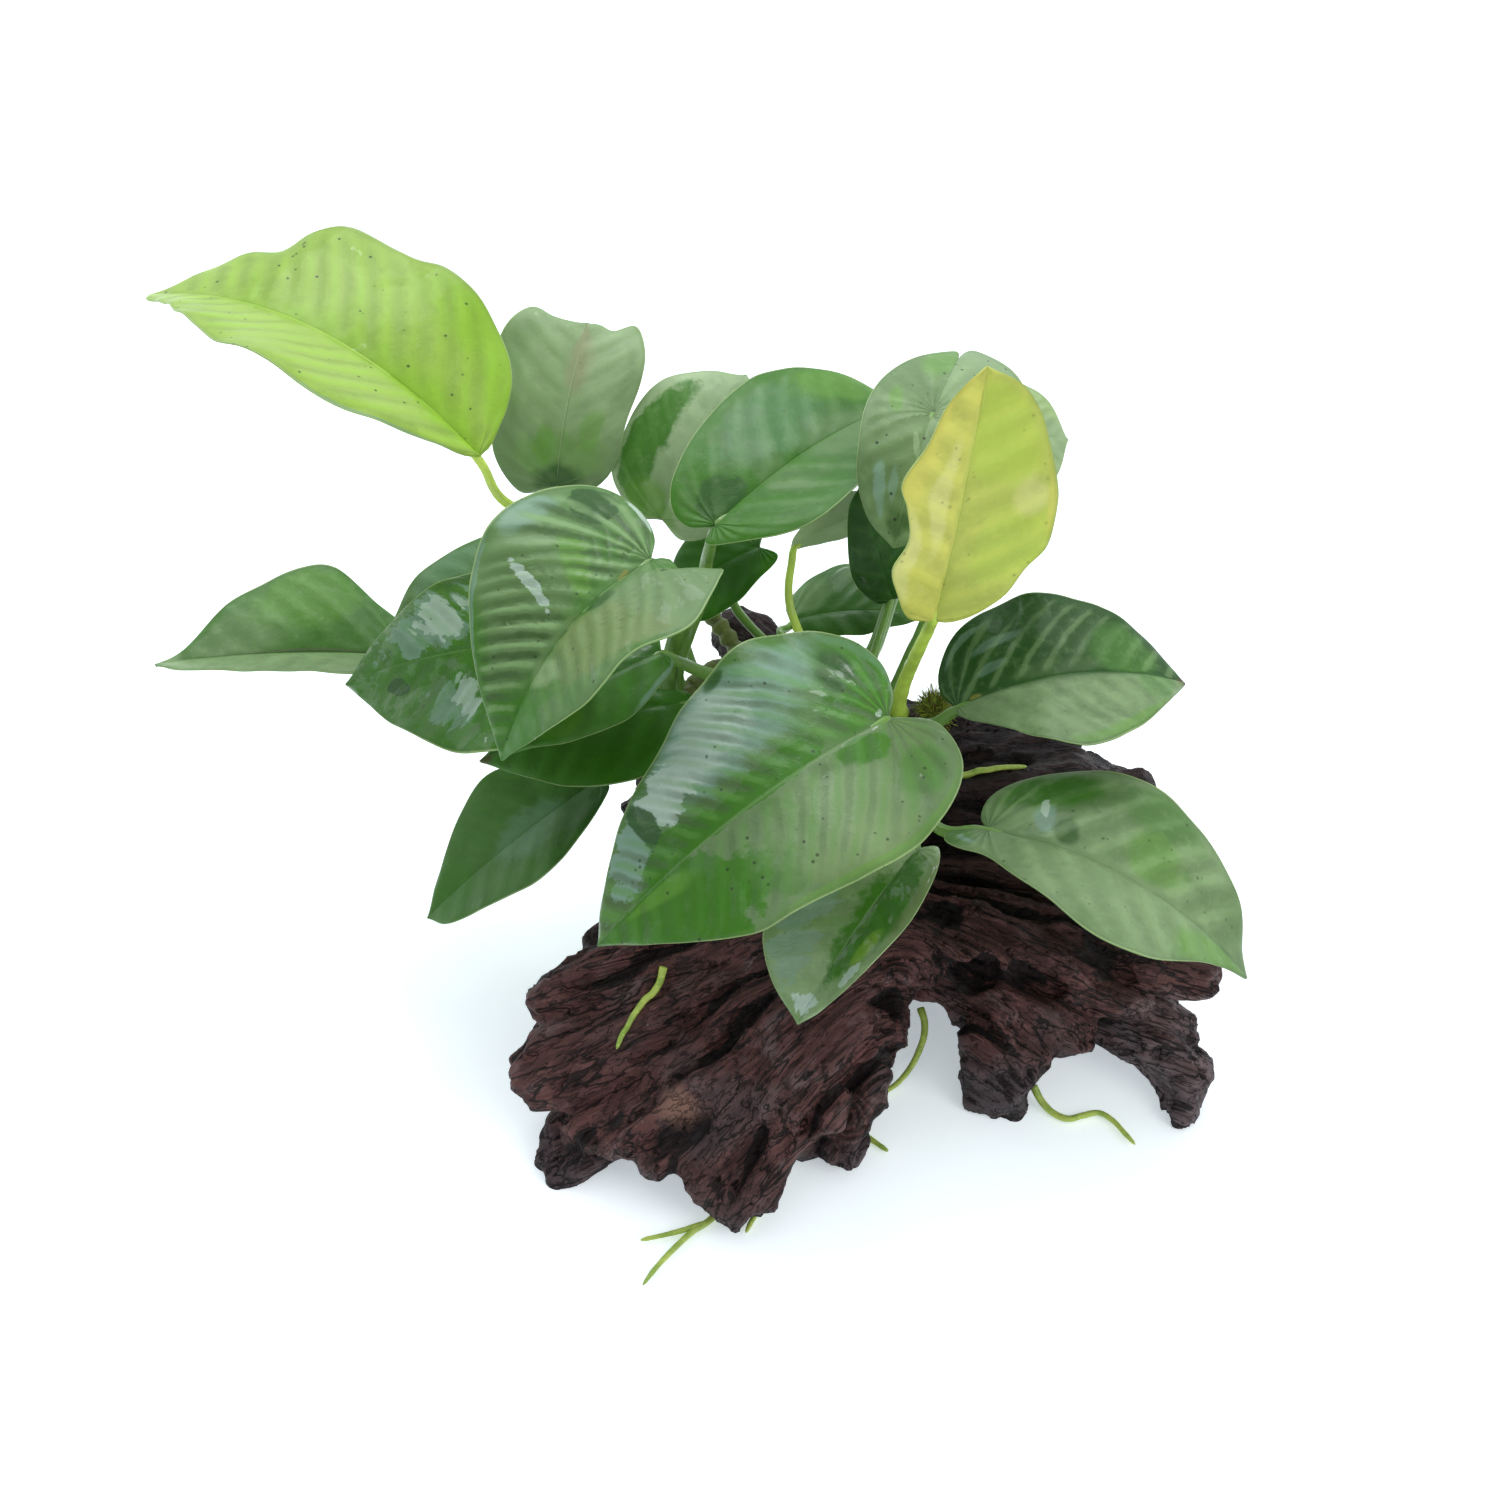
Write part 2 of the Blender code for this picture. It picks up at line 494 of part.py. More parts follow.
def end_is_clear(body, end, inward, radius, gap, solid):
    """Whether a stem's flat end and the wall beside it stay outside a body by the gap.

    In a body as thin as a blade no place is a gap deep, so only a solid one is asked which side.
    """
    side = inward.orthogonal().normalized()
    for k in range(RIM_POINTS):
        rim = end + Quaternion(inward, 2 * math.pi * k / RIM_POINTS) @ side * radius
        for place in (end, (rim + end) / 2, rim, rim + inward * STEM_LEAD):
            found, near, normal, index = body.closest_point_on_mesh(place * MM)
            away = place * MM - near
            if away.length < gap * MM or (solid and away.dot(normal) < 0):
                return False
    return True


def make_stem(name, leaf, blade, rhizome, group):
    """A leaf's stem, each end as near the blade and the rhizome as the gap allows."""
    radii = np.linspace(*STEM_TAPER, STEM_POINTS) * STEM_RADIUS * STOUTNESS.get(name, 1)
    held = blade.evaluated_get(bpy.context.evaluated_depsgraph_get())
    rise = short = GAP
    points = stem_points(leaf, rise, short)
    while not end_is_clear(rhizome, points[0], (points[1] - points[0]).normalized(), radii[0], GAP, True):
        rise += STEM_STEP
        points = stem_points(leaf, rise, short)
    while not end_is_clear(held, points[-1], (points[-2] - points[-1]).normalized(), radii[-1],
                           BLADE_CLEAR, False):
        short += STEM_STEP
        points = stem_points(leaf, rise, short)
    lime = leaf["finish"] in ("leaf_yellow", "leaf_light")
    return make_tube("stem_" + name, points, radii, group, "stem_lime" if lime else "stem_green")


def add_modifier(item, kind, **values):
    """Add a modifier of a kind with its settings."""
    modifier = item.modifiers.new(kind.lower(), kind)
    for key, value in values.items():
        setattr(modifier, key, value)
    return modifier


def make_rhizome(group, cutters):
    """The creeping stem with a stub of an old one, in one piece."""
    points = path_through(RHIZOME_PATH, RHIZOME_POINTS)
    swell = [1 + RHIZOME_SWELL * math.sin(RHIZOME_BEAT * i) for i in range(RHIZOME_POINTS)]
    swell[0] = swell[-1] = RHIZOME_END
    radii = [RHIZOME_RADIUS * s for s in swell]
    main = tube_mesh(make_tube("rhizome", points, radii, group, "rhizome_green", sides=2))
    stub_points = path_through(OLD_STEM_PATH, OLD_STEM_POINTS)
    stub_radii = [OLD_STEM_RADIUS] * OLD_STEM_POINTS
    stub = tube_mesh(make_tube("old_stem", stub_points, stub_radii, cutters, "rhizome_green"))
    add_modifier(main, "BOOLEAN", operation="UNION", solver="EXACT", object=stub)
    apply_modifiers(main)
    return main


def limb_mesh(shape, sections):
    """A limb as a closed loft through its sections, in millimetres."""
    centres = [Vector(centre) for centre, width, height in sections]
    rings = []
    for i, (centre, width, height) in enumerate(sections):
        run = (centres[min(i + 1, len(centres) - 1)] - centres[max(i - 1, 0)]).normalized()
        side = run.cross(Vector((0, 0, 1))).normalized()
        up = side.cross(run)
        ring = []
        for k in range(LIMB_SIDES):
            turn = 2 * math.pi * k / LIMB_SIDES
            out, rise = (math.copysign(abs(v) ** LIMB_SQUARE, v) for v in (math.cos(turn), math.sin(turn)))
            ring.append(shape.verts.new(centres[i] + side * width * out + up * height * rise))
        rings.append(ring)
    for low, high in zip(rings, rings[1:]):
        for k in range(LIMB_SIDES):
            n = (k + 1) % LIMB_SIDES
            shape.faces.new((low[k], low[n], high[n], high[k]))
    shape.faces.new(list(reversed(rings[0])))
    shape.faces.new(rings[-1])


def grain_place(place):
    """Across the grain, along it and up, for a place in millimetres. The grain arches over the
    crown and spreads out down both sides."""
    run = math.hypot(place.x - GRAIN_CENTRE[0], GRAIN_ROUND)
    across = GRAIN_FAN * math.atan2(GRAIN_CENTRE[1] - place.y, run + GRAIN_SPREAD)
    return Vector((across, GRAIN_RUN * (place.x - GRAIN_CENTRE[0]), place.z))


def sharp(value):
    """A crest where the noise crosses nought."""
    return 0.5 - 2.2 * abs(value)


def grain(place):
    """The height of the wood's broad grain: ridges, ledges and lumps."""
    across, along, high = grain_place(place)
    bend = GRAIN_BEND * noise.noise(place / BEND_SIZE)
    ridge_place = (across + bend, along, high)
    ledge_place = (across + 2 * bend, along + 3 * bend, high + bend)
    ridge = sharp(noise.noise(Vector([p / size for p, size in zip(ridge_place, RIDGE_SIZE)])))
    ledge = noise.cell(Vector([p / size for p, size in zip(ledge_place, LEDGE_SIZE)]))
    lumps = noise.noise(place / LUMP_SIZE)
    return GRAIN_HEIGHT * (0.9 * ridge + 0.4 * ledge + 0.9 * lumps)


def hollowed(place):
    """How deep the holes and clefts are at a place."""
    depth = 0
    ragged = RAGGED * noise.noise(place / 3)
    for centre, half, deep in PITS:
        near = math.sqrt(sum(((p - c) / h) ** 2 for p, c, h in zip(place, centre, half))) + ragged
        depth = max(depth, deep * max(0, min(1, (1 - near) / 0.4)))
    return depth


def make_wood(cutters):
    """The whole piece of driftwood, before it is parted at its forks."""
    mesh = bpy.data.meshes.new("driftwood")
    shape = bmesh.new()
    for sections in LIMBS.values():
        limb_mesh(shape, sections)
    bmesh.ops.recalc_face_normals(shape, faces=shape.faces)
    bmesh.ops.scale(shape, vec=(MM, MM, MM), verts=shape.verts)
    shape.to_mesh(mesh)
    shape.free()
    wood = bpy.data.objects.new("driftwood", mesh)
    cutters.objects.link(wood)
    add_modifier(wood, "REMESH", mode="VOXEL", voxel_size=VOXEL * MM)
    apply_modifiers(wood)
    moved = []
    for vertex in wood.data.vertices:
        place = vertex.co / MM
        shift = grain(place) - hollowed(place)
        moved.append(vertex.co + vertex.normal * shift * MM)
    for vertex, place in zip(wood.data.vertices, moved):
        vertex.co = place
    add_modifier(wood, "REMESH", mode="VOXEL", voxel_size=VOXEL * MM)
    apply_modifiers(wood)
    faces = 2 * len(wood.data.polygons)
    add_modifier(wood, "DECIMATE", ratio=WOOD_TRIANGLES / faces)
    apply_modifiers(wood)
    return wood


def off_the_wood(wood, place, radius):
    """The place, moved out so that a root of that radius clears the wood and the ground."""
    place = Vector(place)
    for step in range(ROOT_TRIES):
        found, near, normal, index = wood.closest_point_on_mesh(place * MM)
        near = near / MM
        away = place - near
        inside = away.dot(normal) < 0
        if inside or away.length < radius + ROOT_CLEAR:
            place = near + normal * (radius + ROOT_CLEAR)
        place.z = max(place.z, radius + GAP)
    return place


def height_of(wood, x, y):
    """The height of the wood's upper face at a place."""
    hit, place, normal, index = wood.ray_cast(Vector((x, y, ABOVE)) * MM, Vector((0, 0, -1)))
    if not hit:
        raise ValueError(f"no wood below {x}, {y}")
    return place.z / MM


def make_roots(wood, group, cutters):
    """The roots, thinning to their tips, the front one with its branch."""
    for name, points in {**ROOTS_ON_WOOD, **ROOTS_ON_GROUND}.items():
        route = path_through(points, ROOT_POINTS)
        radii = np.linspace(*ROOT_TAPER, len(route)) * ROOT_RADIUS
        for i, (place, radius) in enumerate(zip(route, radii)):
            if name in ROOTS_ON_WOOD:
                place[2] = height_of(wood, place[0], place[1])
            route[i] = off_the_wood(wood, place, radius)
        root = make_tube(name, route, radii, group, "root_lime")
        if name == "root_front":
            root = tube_mesh(root)
            route = path_through(ROOT_BRANCH, BRANCH_POINTS)
            radii = np.linspace(*BRANCH_TAPER, BRANCH_POINTS) * ROOT_RADIUS
            branch = make_tube("root_branch", route, radii, cutters, "root_lime")
            add_modifier(root, "BOOLEAN", operation="UNION", solver="EXACT", object=tube_mesh(branch))
            apply_modifiers(root)


def make_moss(group):
    """The tuft of moss at the end of the rhizome, as one low lump."""
    bpy.ops.mesh.primitive_ico_sphere_add(subdivisions=2, radius=1)
    lump = bpy.context.active_object
    lump.name = "moss_tuft"
    for vertex in lump.data.vertices:
        swell = 1 + MOSS_SWELL * noise.noise(vertex.co * MOSS_LUMPS)
        place = Vector([c + v * h * swell for c, v, h in zip(MOSS_CENTRE, vertex.co, MOSS_HALF)])
        vertex.co = place * MM
    move_to(lump, group, "moss")
    return lump


def make_box(name, centre, turn, half, group):
    """A box for cutting, turned about the vertical by so many degrees."""
    spin = (0, 0, math.radians(turn))
    bpy.ops.mesh.primitive_cube_add(size=2, location=Vector(centre) * MM, rotation=spin)
    box = bpy.context.active_object
    box.name = name
    box.scale = Vector(half) * MM
    move_to(box, group)
    return box


def keep_largest(item):
    """Drop the chips that a cut leaves beside the main piece."""
    shape = bmesh.new()
    shape.from_mesh(item.data)
    bmesh.ops.triangulate(shape, faces=shape.faces)
    bmesh.ops.remove_doubles(shape, verts=shape.verts, dist=WELD * MM)
    left = set(shape.verts)
    pieces = []
    while left:
        stack = [left.pop()]
        piece = set(stack)
        while stack:
            for edge in stack.pop().link_edges:
                for vertex in edge.verts:
                    if vertex not in piece:
                        piece.add(vertex)
                        left.discard(vertex)
                        stack.append(vertex)
        pieces.append(piece)
    pieces.sort(key=len)
    for piece in pieces[:-1]:
        bmesh.ops.delete(shape, geom=list(piece), context="VERTS")
    shape.to_mesh(item.data)
    shape.free()


def part_wood(wood, group, cutters, groove):
    """Cut the wood flat below, bed the rhizome in it, and part it at its forks."""
    ground = make_box("ground", (0, 0, -GROUND_HALF[2]), 0, GROUND_HALF, cutters)
    add_modifier(wood, "BOOLEAN", operation="DIFFERENCE", solver="EXACT", object=ground)
    add_modifier(wood, "BOOLEAN", operation="DIFFERENCE", solver="EXACT", object=groove)
    apply_modifiers(wood)
    keep_largest(wood)
    body = wood.copy()
    body.data = wood.data.copy()
    body.name = "driftwood_trunk"
    group.objects.link(body)
    for name, (centre, turn, half) in FORKS.items():
        limb = wood.copy()
        limb.data = wood.data.copy()
        limb.name = "driftwood_" + name
        group.objects.link(limb)
        inner = make_box("inside_" + name, centre, turn, half, cutters)
        add_modifier(limb, "BOOLEAN", operation="INTERSECT", solver="EXACT", object=inner)
        for other, (other_centre, other_turn, other_half) in FORKS.items():
            if other == name:
                break
            other_half = [h + GAP for h in other_half]
            wide = make_box("beside_" + other, other_centre, other_turn, other_half, cutters)
            add_modifier(limb, "BOOLEAN", operation="DIFFERENCE", solver="EXACT", object=wide)
        apply_modifiers(limb)
        keep_largest(limb)
        move_to(limb, group, "driftwood")
        outer = make_box("outside_" + name, centre, turn, [h + GAP for h in half], cutters)
        add_modifier(body, "BOOLEAN", operation="DIFFERENCE", solver="EXACT", object=outer)
    apply_modifiers(body)
    keep_largest(body)
    move_to(body, group, "driftwood")


def hide_cutters(group):
    """Keep the cutters out of the renders."""
    for item in group.objects:
        item.hide_render = True
        item.display_type = "WIRE"


def main():
    remove_objects()
    parts = new_collection(COLLECTION)
    cutters = new_collection(CUTTERS)
    rhizome = make_rhizome(parts, cutters)
    bed = path_through(RHIZOME_PATH, RHIZOME_POINTS)
    groove = tube_mesh(make_tube("groove", bed, [GROOVE_RADIUS] * len(bed), cutters, "driftwood", sides=2))
    wood = make_wood(cutters)
    part_wood(wood, parts, cutters, groove)
    make_roots(wood, parts, cutters)
    make_moss(parts)
    for name, leaf in LEAVES.items():
        blade = make_blade(name, leaf, parts)
        make_stem(name, leaf, blade, rhizome, parts)
    hide_cutters(cutters)


main()
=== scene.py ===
"""Anubias barteri rooted on a piece of driftwood: its looks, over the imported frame.

Tables are in millimetres, in the frame of the part: X to the right, Y away from the
viewer, Z up, with the origin on the ground under the trunk of the wood.
"""

import math

import bmesh
import bpy
import numpy as np
from bpy.props import FloatProperty, FloatVectorProperty, IntProperty, PointerProperty
from mathutils import Matrix, Vector, noise


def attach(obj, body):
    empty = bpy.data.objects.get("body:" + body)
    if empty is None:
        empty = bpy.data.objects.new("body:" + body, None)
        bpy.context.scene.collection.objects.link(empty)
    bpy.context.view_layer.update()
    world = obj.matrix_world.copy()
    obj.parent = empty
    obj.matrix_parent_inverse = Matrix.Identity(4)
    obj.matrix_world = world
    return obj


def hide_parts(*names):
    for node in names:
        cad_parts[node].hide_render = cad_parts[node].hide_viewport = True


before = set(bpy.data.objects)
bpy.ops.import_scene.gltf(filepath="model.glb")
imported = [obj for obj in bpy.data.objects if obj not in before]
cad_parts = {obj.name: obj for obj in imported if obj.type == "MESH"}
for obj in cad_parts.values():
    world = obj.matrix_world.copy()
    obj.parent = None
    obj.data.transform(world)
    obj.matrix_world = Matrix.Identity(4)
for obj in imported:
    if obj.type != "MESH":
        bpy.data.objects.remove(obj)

bl_info = {
    "name": "Anubias on driftwood",
    "version": (1, 0, 0),
    "blender": (4, 5, 0),
    "location": "View3D > Sidebar > Anubias",
    "description": "Builds a broad-leaved water plant that grows on a piece of driftwood",
    "category": "Object",
}

MM = 0.001

# How finely a blade is divided across and along and its outline sampled, how its rows of
# points lean and bow, and how far from the midrib the waves of its margin have their full
# height, in millimetres.
BLADE_COLUMNS = 44
BLADE_ROWS = 84
MARGIN_SAMPLES = 161
VEIN_LEAD = 1.25
VEIN_BOW = 0.10
WAVE_REACH = 25.0
# How steeply the side veins lean towards the tip, how much more they do so towards the
# margin, and how many there are for each radian behind the base.
VEIN_LEAN = 0.5
VEIN_CURVE = 0.9
FAN_VEINS = 3.0
# In millimetres: the depth and width of the groove over the midrib and the width of the rib
# below it, how far a blade wavers up and down and over what distance, and how far its margin
# turns down. In degrees: the angle up to which faces are shaded as one.
GROOVE = (0.35, 0.9)
RIB_WIDTH = 1.0
WAVER = (0.8, 16)
MARGIN_DROP = 0.5
SMOOTH_ANGLE = 62
# Points nearer than this, in metres, are one point.
WELD = 0.00001

# How soft the border of a patch on a blade usually is, and up to what a border counts as
# crisp. The colour of the dark points, the dull gloss of leaf and wood, and the bending of
# light in the film of water.
USUAL_SOFTNESS = 0.28
CRISP = 0.2
SPECK_COLOUR = (0.010, 0.016, 0.005)
MATT_SPECULAR = 0.22
WATER_IOR = 1.38

RHIZOME_RADIUS = 3.6
RHIZOME_PATH = [(12, 48, 67), (3, 54, 68), (-10, 61, 68), (-24, 66, 68), (-36, 66, 66), (-47, 59, 61),
                (-56, 49, 55)]
OLD_STEM_PATH = [(-29, 67, 68), (-34, 74, 72), (-38, 79, 74.5), (-41, 82, 75)]
OLD_STEM_RADIUS = 2.2

MOSS_CENTRE = (18.5, 50, 67.5)
MOSS_HALF = (4.5, 5.5, 5)
MOSS_SEED = 11
# A fibre: its joints, how far out its root is and its tip, as a share of the tuft, how much the
# tips vary, and the angles of its three sides.
FIBRE_STEPS = 6
FIBRE_ROOT = 0.60
FIBRE_TIP = 1.15
FIBRE_VARIES = 0.70
FIBRE_SIDES = (0, 2.1, 4.2)

# The wood's grain: where it arches from and how it spreads, then the height of its relief
# and, across the grain, along it and up, how large its ridges and its ledges are.
GRAIN_CENTRE = (8, 25)
GRAIN_ROUND = 8
GRAIN_SPREAD = 30
GRAIN_FAN = 85
GRAIN_RUN = 1.1
GRAIN_HEIGHT = 2.0
GRAIN_BEND = 2.5
BEND_SIZE = 17
RIDGE_SIZE = (9, 44, 19)
LEDGE_SIZE = (7.5, 33, 11)
LUMP_SIZE = 14
RAGGED = 0.35
# Its weathering, with sizes across the grain, along it and up: worn ridges, threads, splinters
# and clefts, and the size of its chips.
WORN_RIDGE = (3.4, 30, 7)
WORN_THREAD = (1.5, 17, 3.2)
WORN_SPLINTER = (2.3, 15, 4.5)
CLEFT = (4.6, 48, 14)
CHIP = 2.2
# The finest relief: threads, splinters and cracks.
FINE_THREAD = (2.4, 30, 5)
FINE_SPLINTER = (3.4, 21, 6)
FINE_CRACK = (5.0, 70, 15)
# How coarse the first mesh of the wood is beside the last.
FIRST_VOXEL = 1.08
# The pale knot, the ringed whorl and the colour of the pale flecks.
KNOT_PLACE = (-45, -43, 26)
WHORL_PLACE = (-4, -37, 16)
FLECK_COLOUR = (0.34, 0.30, 0.30)

# The camera: its place, what it looks at and its lens in millimetres.
CAMERA_PLACE = (-0.028, -0.32955, 0.43355)
CAMERA_TARGET = (-0.028, 0.024, 0.080)
CAMERA_LENS = 50

# The stage, in metres: its floor and its two lights, each with its place, the place it is
# turned to, its size and its colour.
FLOOR_SIZE = 8
FLOOR_LIGHT = (0.86, 0.95, 1.0)
WINDOW = ((-0.16, 0.62, 0.95), (-0.03, 0.02, 0.08), (0.75, 0.45), (0.95, 0.98, 1.0))
FILL = ((0.75, -0.55, 0.70), (0, 0, 0.05), (0.5, 0.5), (1.0, 0.99, 0.96))
# Between which parts of the sky, from the viewer's side, -1, to the far side, 1, it brightens.
SKY_RISE = (-0.35, 0.45)

